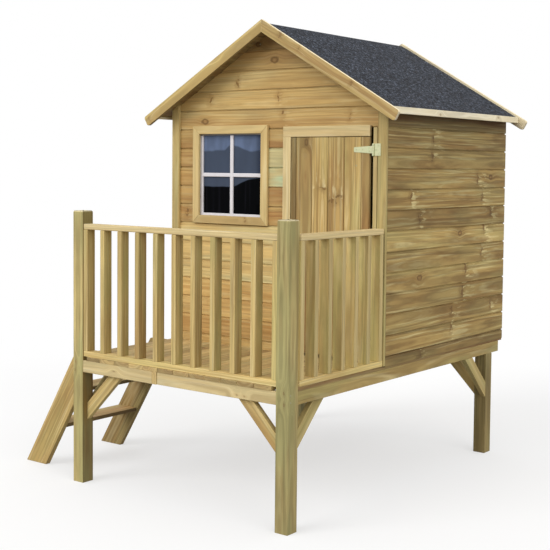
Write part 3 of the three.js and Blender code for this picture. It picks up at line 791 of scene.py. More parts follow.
WOOD_FINISHES = (
    WoodFinish(Wood.SIDING, (0.56, 0.375, 0.135), late=(0.31, 0.165, 0.045), pale=(0.67, 0.54, 0.27),
               heart=(0.35, 0.15, 0.045), green=(0.5, 0.56, 0.33), crack=(0.14, 0.07, 0.022),
               knot=(0.2, 0.095, 0.024), knot_share=0.8, rim_share=0.65, green_share=0.06,
               streak_swing=0.18, band_share=0.36, pale_share=0.36, ring_share=0.16, dark_share=0.42),
    WoodFinish(Wood.SIDE_SIDING, (0.39, 0.265, 0.092), late=(0.17, 0.092, 0.026),
               heart=(0.23, 0.11, 0.03), pale=(0.6, 0.5, 0.24), green=(0.36, 0.34, 0.14),
               knot=(0.16, 0.08, 0.024), dark_share=0.8, pale_share=0.68, band_share=0.58,
               ring_share=0.16, knot_share=0.72, rim_share=0.6, fleck_share=0.85, streak_swing=0.3),
    WoodFinish(Wood.POST, (0.41, 0.32, 0.132), late=(0.2, 0.15, 0.055), pale=(0.56, 0.475, 0.22),
               green=(0.32, 0.31, 0.13), heart=(0.27, 0.15, 0.03), end=(0.62, 0.54, 0.34),
               end_share=0.92, green_share=0.45, crack_share=0.7, streak_swing=0.3, damp_and_shade_foot=0.12),
    WoodFinish(Wood.REAR_POST, (0.27, 0.2, 0.078), late=(0.13, 0.09, 0.032), pale=(0.36, 0.3, 0.13),
               green=(0.21, 0.2, 0.085), green_share=0.5, crack_share=0.7, streak_swing=0.34),
    WoodFinish(Wood.TRIM, (0.63, 0.475, 0.215), late=(0.42, 0.265, 0.09), ring_share=0.18,
               band_share=0.4, dark_share=0.2, green_share=0.08, crack_share=0.1, streak_swing=0.14),
    WoodFinish(Wood.HAND_RAIL, (0.64, 0.51, 0.26), late=(0.46, 0.31, 0.13), pale=(0.7, 0.6, 0.37),
               ring_share=0.16, band_share=0.35, dark_share=0.15, green_share=0.05, crack_share=0.1),
    WoodFinish(Wood.BARGE, (0.54, 0.395, 0.152), late=(0.3, 0.18, 0.06), heart=(0.33, 0.17, 0.07),
               green=(0.4, 0.37, 0.15), end=(0.95, 0.9, 0.72), dark_share=0.5, green_share=0.1,
               streak_swing=0.2),
    WoodFinish(Wood.EAVE, (0.8, 0.72, 0.53), late=(0.6, 0.48, 0.28), pale=(0.85, 0.8, 0.66),
               ring_share=0.15, band_share=0.3, dark_share=0.1, green_share=0.05, crack_share=0.1),
    WoodFinish(Wood.RAIL, (0.56, 0.42, 0.17), late=(0.31, 0.2, 0.065), green=(0.4, 0.38, 0.14),
               green_share=0.25, crack_share=0.15, streak_swing=0.24),
    WoodFinish(Wood.LADDER, (0.47, 0.335, 0.125), late=(0.25, 0.15, 0.045), green=(0.33, 0.3, 0.11),
               green_share=0.3, streak_swing=0.26),
    # Dark end grain, partly painted shade for the front ends under the bottom rail.
    WoodFinish(Wood.FLOOR, (0.57, 0.415, 0.18), late=(0.29, 0.175, 0.065), end=(0.26, 0.17, 0.065),
               dark_share=0.4),
    # The door's darker foot is painted shade behind the side railing.
    WoodFinish(Wood.DOOR, (0.49, 0.335, 0.122), late=(0.24, 0.145, 0.045), green=(0.42, 0.4, 0.16),
               knot=(0.17, 0.085, 0.025), knot_share=0.7, fleck_share=0.6, band_share=0.65,
               streak_swing=0.28, damp_and_shade_foot=0.28),
    WoodFinish(Wood.FRAME, (0.5, 0.37, 0.16)),
)


class Palette:
    """Every material, each built once."""

    def __init__(self) -> None:
        """Builds the shared groups and the materials."""
        groups = (RingPattern().build(), KnotPattern().build(), StainPattern().build())
        self.wood = {finish.wood: finish.build(*groups) for finish in WOOD_FINISHES}
        self.felt = FeltFinish().build()
        self.paint = PaintFinish(spans_of("window_sash")[2].high).build()
        self.zinc = ZincFinish("zinc_plate", (0.56, 0.54, 0.34), 0.42).build()
        self.screw = ZincFinish("screw_zinc", (0.4, 0.35, 0.22), 0.45).build()
        self.glass = GlassFinish(spans_of("window_pane")).build()


def pick(*pieces: Piece) -> None:
    """Selects these pieces and nothing else, the first one active.

    Args:
        *pieces: The pieces.
    """
    bpy.ops.object.select_all(action="DESELECT")
    for piece in pieces:
        piece.select_set(True)
    bpy.context.view_layer.objects.active = pieces[0]


def edit_piece(piece: Piece, select: str = "SELECT", mode: str = "VERT") -> None:
    """Opens a piece in edit mode.

    Args:
        piece: The piece.
        select: SELECT to select all of it, and DESELECT for none.
        mode: What is selected: VERT, EDGE or FACE.
    """
    pick(piece)
    bpy.ops.object.mode_set(mode="EDIT")
    bpy.ops.mesh.select_mode(type=mode)
    bpy.ops.mesh.select_all(action=select)


def leave_edit() -> None:
    """Goes back to object mode, selecting by vertex again."""
    bpy.ops.mesh.select_mode(type="VERT")
    bpy.ops.object.mode_set(mode="OBJECT")


def bevel_edges(piece: Piece, width: float, steps: int, wanted: EdgeTest) -> None:
    """Rounds the edges that pass a test.

    Args:
        piece: The piece to shape.
        width: How far the bevel reaches.
        steps: How many faces it has.
        wanted: A test that takes an edge's two ends.
    """
    edit_piece(piece, "DESELECT", "EDGE")
    bpy.ops.object.mode_set(mode="OBJECT")
    mesh = piece.data
    for edge in mesh.edges:
        edge.select = wanted(*(mesh.vertices[index].co for index in edge.vertices))
    bpy.ops.object.mode_set(mode="EDIT")
    bpy.ops.mesh.bevel(offset=width, segments=steps, affect="EDGES")
    leave_edit()


def cut_piece(piece: Piece, cuts: Sequence[Cut]) -> None:
    """Saws a piece along each plane and closes the cuts.

    Args:
        piece: The piece.
        cuts: The cuts, in their order.
    """
    if not cuts:
        return
    edit_piece(piece)
    for cut in cuts:
        bpy.ops.mesh.select_all(action="SELECT")
        bpy.ops.mesh.bisect(plane_co=cut.point, plane_no=cut.normal, use_fill=True, clear_outer=True)
    leave_edit()


def copy_piece(piece: Piece, name: str, shift: Vector) -> Piece:
    """Copies a piece, with its own mesh, to another place.

    Args:
        piece: The piece.
        name: The copy's name.
        shift: How far away the copy lies.

    Returns:
        The copy.
    """
    made = piece.copy()
    made.data = piece.data.copy()
    made.name = name
    made.data.transform(Matrix.Translation(shift))
    bpy.context.collection.objects.link(made)
    return made


def join_pieces(name: str, parts: Sequence[Piece]) -> Piece:
    """Joins parts into one piece.

    Args:
        name: The joined piece's name.
        parts: The parts.

    Returns:
        The joined piece.
    """
    pick(*parts)
    if len(parts) > 1:
        bpy.ops.object.join()
    joined = bpy.context.view_layer.objects.active
    joined.name = joined.data.name = name
    return joined


def delete_pieces(*parts: Piece) -> None:
    """Removes patterns that were only copied from."""
    pick(*parts)
    bpy.ops.object.delete()


@dataclass
class Sawmill:
    """Makes boards, and marks each one with its own piece of tree.

    A pair gives the least and the most of a random draw.
    """

    seed: int
    tree_length: float = 60.0
    pith_across: Pair = (-0.03, 0.03)
    pith_depth: Pair = (0.018, 0.075)
    knots_a_metre: Pair = (0.5, 2.6)
    most_knots: int = 2
    knot_radius: float = 0.011
    knot_width_share: float = 0.16
    knot_size_share: Pair = (0.6, 1.0)
    knot_away_share: Pair = (0.05, 0.45)
    knot_across_share: Pair = (-0.35, 0.35)
    ragged_width: float = 0.06
    ragged_share: float = 0.5
    no_knot: Triple = (50.0, 0.0, 0.005)
    facing: float = 0.5
    end_facing: float = 0.6

    def __post_init__(self) -> None:
        """Starts the random draws."""
        self.draw = random.Random(self.seed)

    def block(self, centre: Vector, size: Vector, turn: Sequence[float] = (0.0, 0.0, 0.0)) -> Piece:
        """Adds a rough block.

        Args:
            centre: Its middle.
            size: Its length along each of its own axes.
            turn: How it is turned, in radians.

        Returns:
            The block.
        """
        bpy.ops.object.select_all(action="DESELECT")
        bpy.ops.mesh.primitive_cube_add(size=1.0, location=centre, rotation=turn, scale=size)
        bpy.ops.object.transform_apply(location=True, rotation=True, scale=True)
        return bpy.context.active_object

    def filling(self, spans: Sequence[Span]) -> Piece:
        """Adds a rough block that fills three stretches."""
        return self.block(Vector([span.middle for span in spans]), Vector([span.length for span in spans]))

    def ease(self, piece: Piece, width: float, steps: int = 2) -> None:
        """Rounds every edge a little.

        Args:
            piece: The board.
            width: How far the rounding reaches.
            steps: How many faces it has.
        """
        edit_piece(piece)
        bpy.ops.mesh.bevel(offset=width, segments=steps, affect="EDGES")
        leave_edit()

    def tone(self, spread: float = 0.1, red: float = 0.0, green: float = 0.0) -> Tone:
        """Draws a tone, by how much it may be lighter or darker, redder and greener."""
        light = 1.0 + spread * self.draw.uniform(-1.0, 1.0)
        return Tone(light, red * self.draw.random() ** 2, green * self.draw.random() ** 2)

    def draw_knots(self, length: float, width: float) -> list[Knot]:
        """Draws a board's knots.

        Args:
            length: The board's length.
            width: The board's width.

        Returns:
            None, one or two knots, small enough for the width, the second one on the other half.
        """
        count = min(self.most_knots, int(length * self.draw.uniform(*self.knots_a_metre)))
        most = min(self.knot_radius, width * self.knot_width_share)
        near, far = self.knot_away_share
        knots = []
        for index in range(count):
            away = length * self.draw.uniform(*((-far, -near) if index else (near, far)))
            ragged = width > self.ragged_width and self.draw.random() < self.ragged_share
            across = width * self.draw.uniform(*self.knot_across_share)
            knots.append(Knot(away, across, self.draw.uniform(*self.knot_size_share) * most, ragged))
        return knots

    def stain(self, piece: Piece, way: Vector, tone: Tone, bleached: bool = False) -> None:
        """Gives the faces that look one way a tone of their own.

        Args:
            piece: The board, already marked.
            way: The way that the faces look.
            tone: Their tone.
            bleached: True where they take the colour of a sawn end.
        """
        colours, ends = (piece.data.attributes[name].data for name in ("tint", "end"))
        for polygon, colour, end in zip(piece.data.polygons, colours, ends):
            if polygon.normal.dot(way) > self.facing:
                colour.vector = (tone.light, tone.red, tone.green)
                end.value = max(end.value, float(bleached))

    def mark(self, piece: Piece, along: Vector, across: Vector, tone: Tone,
             pith: Pair | None = None, start: float | None = None,
             centre: Vector | None = None, knots: Sequence[Knot] | None = None) -> Piece:
        """Writes a board's grain, tint, end and knot attributes.

        Args:
            piece: The board, in its place.
            along: The direction of its fibres.
            across: The direction of its width.
            tone: How it differs from its neighbours.
            pith: Where its middle lies, across and square to the tree's pith.
            start: Where it lies along the tree.
            centre: Its middle, where the board is sawn up and its parts share it.
            knots: Its knots, at most three; drawn when left out.

        Returns:
            The board.
        """
        mesh = piece.data
        points = np.empty(len(mesh.vertices) * 3, np.float32)
        mesh.vertices.foreach_get("co", points)
        points = points.reshape(-1, 3)
        middle = np.array(centre) if centre else (points.min(0) + points.max(0)) / 2
        along, across = along.normalized(), across.normalized()
        if pith is None:
            pith = (self.draw.uniform(*self.pith_across), self.draw.uniform(*self.pith_depth))
        if start is None:
            start = self.draw.uniform(0.0, self.tree_length)
        flat = (points - middle) @ np.array((along, across, along.cross(across))).T
        if knots is None:
            knots = self.draw_knots(np.ptp(flat[:, 0]), np.ptp(flat[:, 1]))
        grain = mesh.attributes.new("grain", "FLOAT_VECTOR", "POINT")
        grain.data.foreach_set("vector", (flat + np.array((start, *pith))).astype(np.float32).ravel())
        places = [(start + knot.along, pith[0] + knot.across, -knot.radius if knot.ragged else knot.radius)
                  for knot in knots]
        away, level, radius = self.no_knot
        places += [(start + away, level, radius)] * (len(KNOT_SLOTS) - len(places))
        for name, value in (("tint", (tone.light, tone.red, tone.green)), *zip(KNOT_SLOTS, places)):
            shared = mesh.attributes.new(name, "FLOAT_VECTOR", "FACE")
            shared.data.foreach_set("vector", np.tile(value, len(mesh.polygons)))
        normals = np.empty(len(mesh.polygons) * 3, np.float32)
        mesh.polygons.foreach_get("normal", normals)
        turned = np.abs(normals.reshape(-1, 3) @ np.array(along))
        end = mesh.attributes.new("end", "FLOAT", "FACE")
        end.data.foreach_set("value", (turned > self.end_facing).astype(np.float32))
        return piece

    def board(self, spans: Sequence[Span], tone: Tone, ease: float = 0.002, cuts: Sequence[Cut] = (),
              pith: Pair | None = None, knots: Sequence[Knot] | None = None) -> Piece:
        """Makes a planed board along its longest side.

        Args:
            spans: Its stretches along X, Y and Z.
            tone: How it differs from its neighbours.
            ease: How far its edges are rounded.
            cuts: Saw cuts made before its edges are rounded.
            pith: Where its middle lies from the tree's pith.
            knots: Its knots; drawn when left out.

        Returns:
            The board.
        """
        piece = self.filling(spans)
        cut_piece(piece, cuts)
        self.ease(piece, ease)
        order = sorted(range(3), key=lambda axis: -spans[axis].length)
        return self.mark(piece, AXES[order[0]], AXES[order[1]], tone, pith, knots=knots)

    def node_board(self, node: str, tone: Tone, ease: float = 0.002, cuts: Sequence[Cut] = (),
                   knots: Sequence[Knot] | None = None) -> Piece:
        """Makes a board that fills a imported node's box."""
        return self.board(spans_of(node), tone, ease, cuts, knots=knots)

    def sloping(self, centre: Vector, size: Vector, angle: float, cuts: Sequence[Cut], tone: Tone,
                about: int = 1, ease: float = 0.002) -> Piece:
        """Makes a board whose length slopes up from the level.

        Args:
            centre: Its middle.
            size: Its length, thickness and width, or thickness, length and width about X.
            angle: How far its length is turned about the axis, in radians.
            cuts: The saw cuts at its ends.
            tone: How it differs from its neighbours.
            about: The axis it is turned about: 0 for X and 1 for Y.
            ease: How far its edges are rounded.

        Returns:
            The board.
        """
        turn = [0.0, 0.0, 0.0]
        turn[about] = angle
        piece = self.block(centre, size, turn)
        cut_piece(piece, cuts)
        self.ease(piece, ease)
        spin = Matrix.Rotation(angle, 3, AXES[about])
        return self.mark(piece, spin @ AXES[1 - about], spin @ Z_AXIS, tone)


@dataclass
class Dresser:
    """Gives a finished piece its material and its body, and hides the nodes that it stands for."""

    palette: Palette

    def dress(self, piece: Piece, material: Material, slot: Slot,
              body: str = HOUSE, nodes: Sequence[str] = ()) -> None:
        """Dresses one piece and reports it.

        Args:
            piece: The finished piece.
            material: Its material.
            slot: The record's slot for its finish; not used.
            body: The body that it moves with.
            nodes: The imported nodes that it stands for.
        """
        self.paint_over(piece, material)
        if nodes:
            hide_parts(*nodes)
        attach(piece, body)
        LOG.info("%s: %d faces, on %s", piece.name, len(piece.data.polygons), body)

    def paint_over(self, piece: Piece, material: Material) -> None:
        """Gives a piece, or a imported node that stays, one material."""
        piece.data.materials.clear()
        piece.data.materials.append(material)

    def timber(self, name: str, parts: Sequence[Piece], wood: Wood, slot: Slot, node: str,
               body: str = HOUSE) -> None:
        """Joins boards into one piece, which stands for a node, and dresses it."""
        self.dress(join_pieces(name, parts), self.palette.wood[wood], slot, body, [node])


@dataclass
class Roofline:
    """The slope that walls, boards and barge boards follow."""

    ridge: float
    middle: float
    pitch: float = math.radians(30.3)
    under_boards: float = 0.0286

    def slope_cut(self, sign: int, depth: float) -> Cut:
        """A cut along the slope of a side, at a depth square under the barge boards' top edge."""
        point = Vector((self.middle, 0.0, self.ridge - depth / math.cos(self.pitch)))
        return Cut(point, Vector((sign * math.sin(self.pitch), 0.0, math.cos(self.pitch))))

    def gable_cuts(self) -> list[Cut]:
        """Both cuts under the roof boards."""
        return [self.slope_cut(sign, self.under_boards) for sign in (-1, 1)]


@dataclass
class Platform:
    """Posts, beams, floor and knee braces."""

    dresser: Dresser
    mill: Sawmill = field(default_factory=lambda: Sawmill(11))
    post_ease: float = 0.003
    post_crown: float = 0.009
    post_steps: int = 3
    post_pith: Pair = (-0.015, 0.015)
    marks: dict[str, tuple[Knot, ...]] = field(default_factory=lambda: {
        "post_front_left": (Knot(0.552, -0.472, 0.0035), Knot(0.592, -0.469, 0.0035)),
        "post_front_right": (Knot(0.603, 0.811, 0.0035), Knot(0.552, 0.813, 0.0035))})
    post_tones: dict[str, Tone] = field(default_factory=lambda: {
        "post_front_left": Tone(1.32, 0.0, 0.05), "post_front_right": Tone(1.02, 0.0, 0.1)})
    # The left post's face towards +X is darker and redder.
    left_post_side_tone: Tone = Tone(0.7, 0.95)
    rear_pith: Pair = (0.01, 0.012)
    rear_green: float = 0.16
    stub_ease: float = 0.0012
    beam_ease: float = 0.0025
    beam_marks: dict[str, tuple[Knot, ...]] = field(default_factory=lambda: {
        "front_beam_left": (Knot(-0.203, 0.575, 0.003),),
        "front_beam_right": (Knot(0.051, 0.597, 0.006, True), Knot(0.593, 0.561, 0.003),
                             Knot(0.551, 0.562, 0.003)),
        "side_beam_right": (Knot(-0.25, 0.59, 0.007, True),)})
    front_beam_tone: Tone = Tone(0.99, 0.12, 0.05)
    beam_tone: Tone = Tone(0.92, 0.15, 0.25)
    board_width: float = 0.092
    board_thickness: float = 0.019
    board_count: int = 14
    board_ease: float = 0.0018
    floor_wear: float = 1.05
    # The floor boards' front ends: a random tone per board, reaching down into painted shade under the bottom
    # rail.
    end_light_and_shade: Pair = (0.5, 1.45)
    end_red: float = 0.2
    # Painted shade: the last floor board's edge towards +X, under the overhang of the side siding.
    last_side_shade: Tone = Tone(0.66, 0.6)
    runner_tone: Tone = Tone(1.5)
    runner_room: float = 0.0003
    bearer_room: float = 0.0005
    bearer_thickness: float = 0.028
    bearer_ease: float = 0.0015
    bearer_count: int = 4
    brace_width: float = 0.058
    brace_thickness: float = 0.0277
    brace_angle: float = math.radians(45)
    brace_tone: Tone = Tone(1.12, 0.4)
    side_brace_light: float = 0.9
    side_brace_green: float = 0.15

    def post(self, node: str) -> Piece:
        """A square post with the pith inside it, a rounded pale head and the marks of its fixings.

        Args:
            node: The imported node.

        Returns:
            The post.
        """
        pith = (self.mill.draw.uniform(*self.post_pith), self.mill.draw.uniform(*self.post_pith))
        x, _, z = spans = spans_of(node)
        piece = self.mill.filling(spans)
        bevel_edges(piece, self.post_ease, self.post_steps, lambda a, b: abs(a.z - b.z) > self.board_width)
        bevel_edges(piece, self.post_crown, self.post_steps,
                    lambda a, b: min(a.z, b.z) > z.high - self.post_ease)
        local = [replace(mark, along=mark.along - z.middle, across=mark.across - x.middle)
                 for mark in self.marks[node]]
        self.mill.mark(piece, Z_AXIS, X_AXIS, self.post_tones[node], pith, knots=local)
        if node.endswith("left"):
            self.mill.stain(piece, X_AXIS, self.left_post_side_tone)
        return piece

    def build_posts(self) -> None:
        """The front posts, and the rear ones with a rebate for the side beams."""
        for side, sign in (("left", -1), ("right", 1)):
            node = f"post_front_{side}"
            self.dresser.timber(f"front_post_{side}", [self.post(node)], Wood.POST, Slot.GREEN_PINE, node)
            node = f"post_rear_{side}"
            beam = spans_of(f"side_beam_{side}")
            x, y, z = spans_of(node)
            inner = beam[0].low if sign > 0 else beam[0].high
            tenon = Span(*sorted((inner, x.low if sign > 0 else x.high)))
            parts = [
                self.mill.board(spans, self.mill.tone(0.05, 0.0, self.rear_green), ease, pith=self.rear_pith)
                for spans, ease in (((x, y, Span(z.low, beam[2].low)), self.post_ease),
                                    ((tenon, y, Span(beam[2].low, z.high)), self.stub_ease))]
            self.dresser.timber(f"rear_post_{side}", parts, Wood.REAR_POST, Slot.GREEN_PINE, node)

    def build_beams(self) -> None:
        """The beams under the floor's edges."""
        for node in ("front_beam_left", "front_beam_right", "rear_beam", "side_beam_left", "side_beam_right"):
            front = node.startswith("front")
            tone = self.front_beam_tone if front else self.beam_tone
            x, _, z = spans_of(node)
            knots = [replace(knot, along=knot.along - x.middle, across=knot.across - z.middle)
                     for knot in self.beam_marks.get(node, ())]
            beam = self.mill.node_board(node, tone, self.beam_ease, knots=knots)
            self.dresser.timber(f"{node}_timber", [beam], Wood.HAND_RAIL if front else Wood.LADDER,
                                Slot.PALE_PINE if front else Slot.GREEN_PINE, node)

    def build_floor(self) -> None:
        """Floor boards over the runner and the bearers."""
        x, y, z = spans_of("deck")
        pitch = (x.length - self.board_width) / (self.board_count - 1)
        top = Span(z.high - self.board_thickness, z.high)
        low = Span(z.low, top.low)
        post_depth = spans_of("post_front_left")[1].high
        last = self.board_count - 1
        parts = []
        for index in range(self.board_count):
            left = x.low + index * pitch
            depth = Span(post_depth if index in (0, last) else y.low, y.high)
            tone = self.mill.tone(0.2, 0.4, 0.1)
            tone = replace(tone, light=tone.light * self.floor_wear)
            board = self.mill.board((Span(left, left + self.board_width), depth, top), tone, self.board_ease)
            # Front ends darker at random, partly painted shade under the bottom rail.
            end = Tone(self.mill.draw.uniform(*self.end_light_and_shade), self.end_red * self.mill.draw.random())
            self.mill.stain(board, -Y_AXIS, end)
            # Painted shade on the deck's edge under the side siding.
            if index == last:
                self.mill.stain(board, X_AXIS, self.last_side_shade)
            parts.append(board)
        runner = Span(spans_of("front_beam_left")[0].high + self.runner_room,
                      spans_of("front_beam_right")[0].low - self.runner_room)
        spans = (runner, Span(y.low, spans_of("rear_beam")[1].low), low)
        parts.append(self.mill.board(spans, self.mill.tone(0.06), self.bearer_ease, knots=()))
        self.mill.stain(parts[-1], -Y_AXIS, self.runner_tone)
        inner = Span(spans_of("side_beam_left")[0].high + self.bearer_room,
                     spans_of("side_beam_right")[0].low - self.bearer_room)
        for front in self.bearer_fronts():
            across = (inner, Span(front, front + self.bearer_thickness), low)
            parts.append(self.mill.board(across, self.mill.tone(0.08, 0.2), self.bearer_ease))
        self.dresser.timber("floor_boards", parts, Wood.FLOOR, Slot.PINE, "deck")

    def bearer_fronts(self) -> list[float]:
        """Finds where each bearer starts.

        Returns:
            Its front's place along Y, from front to rear.
        """
        first = spans_of("brace_side_front_left")[1].high + self.bearer_thickness
        last = spans_of("brace_side_rear_left")[1].low - 2 * self.bearer_thickness
        pitch = (last - first) / (self.bearer_count - 1)
        rear = spans_of("wall_rear")[1].low - self.bearer_thickness
        return [first + index * pitch for index in range(self.bearer_count)] + [rear]

    def build_braces(self) -> None:
        """Eight knee braces, sawn at 45 degrees at both ends."""
        for end in ("front", "rear"):
            for side, sign in (("left", 1), ("right", -1)):
                self.brace(f"brace_{end}_{side}", 0, sign)
                self.brace(f"brace_side_{end}_{side}", 1, 1 if end == "front" else -1)

    def brace(self, node: str, axis: int, sign: int) -> None:
        """One brace, rising from its post.

        Args:
            node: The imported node.
            axis: The axis that it runs along: 0 for X and 1 for Y.
            sign: 1 where it rises towards the positive end.
        """
        spans = spans_of(node)
        run = spans[axis]
        half = self.brace_width / math.sqrt(2)
        length = run.length * math.sqrt(2)
        centre = Vector([span.middle for span in spans])
        centre[axis] -= sign * half / 2
        centre.z += half / 2
        size = Vector((self.brace_thickness, self.brace_thickness, self.brace_width))
        size[axis] = length
        cuts = [Cut(AXES[axis] * (run.low if sign > 0 else run.high), AXES[axis] * -sign),
                Cut(Z_AXIS * spans[2].high, Z_AXIS)]
        angle = self.brace_angle * sign * (1 if axis else -1)
        tone = self.mill.tone(0.06, 0.1, 0.12)
        tone = replace(tone, light=tone.light * self.side_brace_light,
                       green=tone.green + self.side_brace_green)
        piece = self.mill.sloping(centre, size, angle, cuts, tone if axis else self.brace_tone, 1 - axis)
        slot = Slot.GREEN_PINE if axis else Slot.PINE
        self.dresser.timber(f"{node}_timber", [piece], Wood.RAIL, slot, node)

    def build(self) -> None:
        """Models and dresses the platform."""
        self.build_posts()
        self.build_beams()
        self.build_floor()
        self.build_braces()


@dataclass
class Railings:
    """The front and side railings. The side one's balusters catch the light outside."""

    dresser: Dresser
    mill: Sawmill = field(default_factory=lambda: Sawmill(23))
    baluster: float = 0.028
    rail: float = 0.027
    rail_tone: Tone = Tone(1.26)
    rail_ease: float = 0.003
    overlap: float = 0.0002
    light: float = 1.08
    ease: float = 0.0022
    # Painted shade, with green moss, on the front balusters' faces towards +X; painted light on the side
    # balusters' outer and front faces.
    shade: float = 0.86
    moss: float = 0.2
    sunlit: float = 0.97
    side_front_light: float = 1.12
    red_baluster: int = 3
    red_tone: Tone = Tone(0.9, 0.4)
    cap_tone: Tone = Tone(1.03)
    cap_ease: float = 0.004
    end_room: dict[str, float] = field(default_factory=lambda: {"front": 0.0, "side": 0.004})
    counts: dict[str, int] = field(default_factory=lambda: {"front": 11, "side": 7})

    def build(self) -> None:
        """Models and dresses both railings."""
        for name, axis in (("front", 0), ("side", 1)):
            node = f"{name}_balusters"
            spans = list(spans_of(node))
            along, height = spans[axis], spans[2]
            foot = Span(height.low, height.low + self.rail)
            parts = [self.mill.board((*spans[:2], foot), self.rail_tone, self.rail_ease, knots=())]
            pitch = (along.length - self.end_room[name] - self.baluster) / (self.counts[name] - 1)
            for index in range(self.counts[name]):
                near = along.low + index * pitch
                spans[axis] = Span(near, near + self.baluster)
                spans[2] = Span(foot.high - self.overlap, height.high)
                parts.append(self.upright(spans, name, index))
            self.dresser.timber(f"{name}_railing", parts, Wood.RAIL, Slot.PINE, node)
            top = f"{name}_top_rail"
            cap = self.mill.node_board(top, self.cap_tone, self.cap_ease, knots=())
            self.dresser.timber(f"{name}_hand_rail", [cap], Wood.HAND_RAIL, Slot.PALE_PINE, top)

    def upright(self, spans: Sequence[Span], name: str, index: int) -> Piece:
        """One baluster.

        Args:
            spans: Its stretches along X, Y and Z.
            name: Its railing: front or side.
            index: Its place in the row.

        Returns:
            The baluster.
        """
        tone = self.mill.tone(0.08, 0.12, 0.16)
        if name == "front" and index == self.red_baluster:
            tone = self.red_tone
        made = self.mill.board(spans, replace(tone, light=tone.light * self.light), self.ease, knots=())
        mossy = tone.green + self.moss
        # Painted shade with moss on the front balusters' faces towards +X; on the side ones, painted light,
        # paler like end grain, outside, and lighter fronts with moss.
        if name == "front":
            self.mill.stain(made, X_AXIS, Tone(tone.light * self.shade, tone.red, mossy))
        else:
            self.mill.stain(made, X_AXIS, Tone(tone.light * self.sunlit, tone.red), bleached=True)
            self.mill.stain(made, -Y_AXIS, Tone(tone.light * self.side_front_light, 0.0, mossy))
        return made


@dataclass
class Ladder:
    """Two stringers and the treads between them."""

    dresser: Dresser
    mill: Sawmill = field(default_factory=lambda: Sawmill(37))
    pitch: float = math.radians(58.6)
    width: float = 0.128
    side_ease: float = 0.0025
    side_tones: dict[str, Tone] = field(default_factory=lambda: {
        "front": Tone(1.17, 0.22, 0.02), "rear": Tone(0.74, 0.3, 0.1)})
    tread_ease: float = 0.003
    tread_tone: Tone = Tone(1.1, 0.5)
    # Damp and painted shade: the treads' faces towards +X, under the platform, are darker.
    damp_and_shade: Tone = Tone(0.42, 0.5)

    def build(self) -> None:
        """Models and dresses the ladder."""
        for name, tone in self.side_tones.items():
            node = f"ladder_stringer_{name}"
            x, y, z = spans_of(node)
            foot = x.low + self.width / math.sin(self.pitch) / 2
            run = z.length / math.tan(self.pitch)
            middle = Vector((foot + run / 2, y.middle, z.middle))
            size = Vector((z.length / math.sin(self.pitch) + self.width * 2, y.length, self.width))
            cuts = [Cut(Z_AXIS * z.low, -Z_AXIS), Cut(Z_AXIS * z.high, Z_AXIS), Cut(X_AXIS * x.high, X_AXIS)]
            piece = self.mill.sloping(middle, size, -self.pitch, cuts, tone, ease=self.side_ease)
            self.dresser.timber(f"ladder_side_{name}", [piece], Wood.LADDER, Slot.GREEN_PINE, node)
        for index in (1, 2):
            node = f"ladder_tread_{index}"
            piece = self.mill.node_board(node, self.tread_tone, self.tread_ease, knots=())
            self.mill.stain(piece, X_AXIS, self.damp_and_shade)
            self.dresser.timber(f"ladder_step_{index}", [piece], Wood.FLOOR, Slot.PINE, node)


# Tones go from the floor up; the top two boards, in the gable under the barge boards, are darker partly as
# painted shade.
FRONT_TONES = tuple(Tone(*numbers) for numbers in (
    (1.16, 0.36), (1.18, 0.38), (1.26, 0.26), (1.3, 0.26), (1.26, 0.0, 0.34), (1.22, 0.0, 0.3),
    (1.2, 0.0, 0.24), (0.92, 0.5), (0.95, 0.4), (1.02, 0.3), (0.92, 0.5), (0.94, 0.55),
    (1.0, 0.3, 0.1), (1.06, 0.04, 0.1), (1.02, 0.06, 0.08), (0.88, 0.55), (0.68, 0.85)))
INLAY_TONES = tuple(Tone(*numbers) for numbers in (
    (0.94, 0.7), (1.06, 0.15, 1.5), (1.04, 0.25, 1.15), (0.96, 0.85), (0.96, 0.8)))
FRONT_KNOTS = tuple((board, Knot(*numbers)) for board, *numbers in (
    (16, 0.075, 0.3, 0.011), (15, 0.178, 0.46, 0.014), (14, -0.056, 0.37, 0.008, True),
    (13, 0.206, 0.6, 0.009, True), (13, -0.239, 0.5, 0.008, True), (12, -0.279, 0.4, 0.013),
    (12, 0.232, 0.75, 0.009, True), (12, 0.631, 0.5, 0.007, True), (7, -0.4, 0.5, 0.01, True)))
# Tones go from the floor up; the top board, under the eave, is darker partly as painted shade.
SIDE_TONES = tuple(Tone(*numbers) for numbers in (
    (0.72, 0.3), (1.04, 0.05), (0.98, 0.15), (0.92, 0.3), (1.1, 0.05, 0.1), (0.97, 0.1), (1.22, 0.0, 0.15),
    (0.8, 0.45), (1.02, 0.15, 0.05), (0.98, 0.22), (0.88, 0.3), (0.83, 0.3, 0.05), (0.53, 1.0)))
SIDE_KNOTS = tuple((board, Knot(*numbers)) for board, *numbers in (
    (11, 0.166, 0.5, 0.009, True), (10, 0.16, 0.6, 0.01, True), (9, 0.637, 0.5, 0.012, True),
    (9, 0.784, 0.57, 0.012), (8, -0.036, 0.6, 0.008, True), (8, 0.692, 0.5, 0.008, True),
    (7, 0.045, 0.5, 0.011, True), (7, 0.792, 0.6, 0.008, True), (6, 0.455, 0.62, 0.012),
    (6, 0.72, 0.85, 0.009, True), (5, 0.694, 0.5, 0.009, True), (4, 0.522, 0.75, 0.012, True),
    (4, 0.054, 0.55, 0.013), (3, 0.488, 0.5, 0.013, True), (2, 0.375, 0.6, 0.009, True),
    (2, 0.813, 0.5, 0.008, True), (1, 0.378, 0.7, 0.007, True), (0, 0.067, 0.6, 0.009, True)))


@dataclass(frozen=True)
class Opening:
    """A rectangular hole in a wall."""

    across: Span
    height: Span


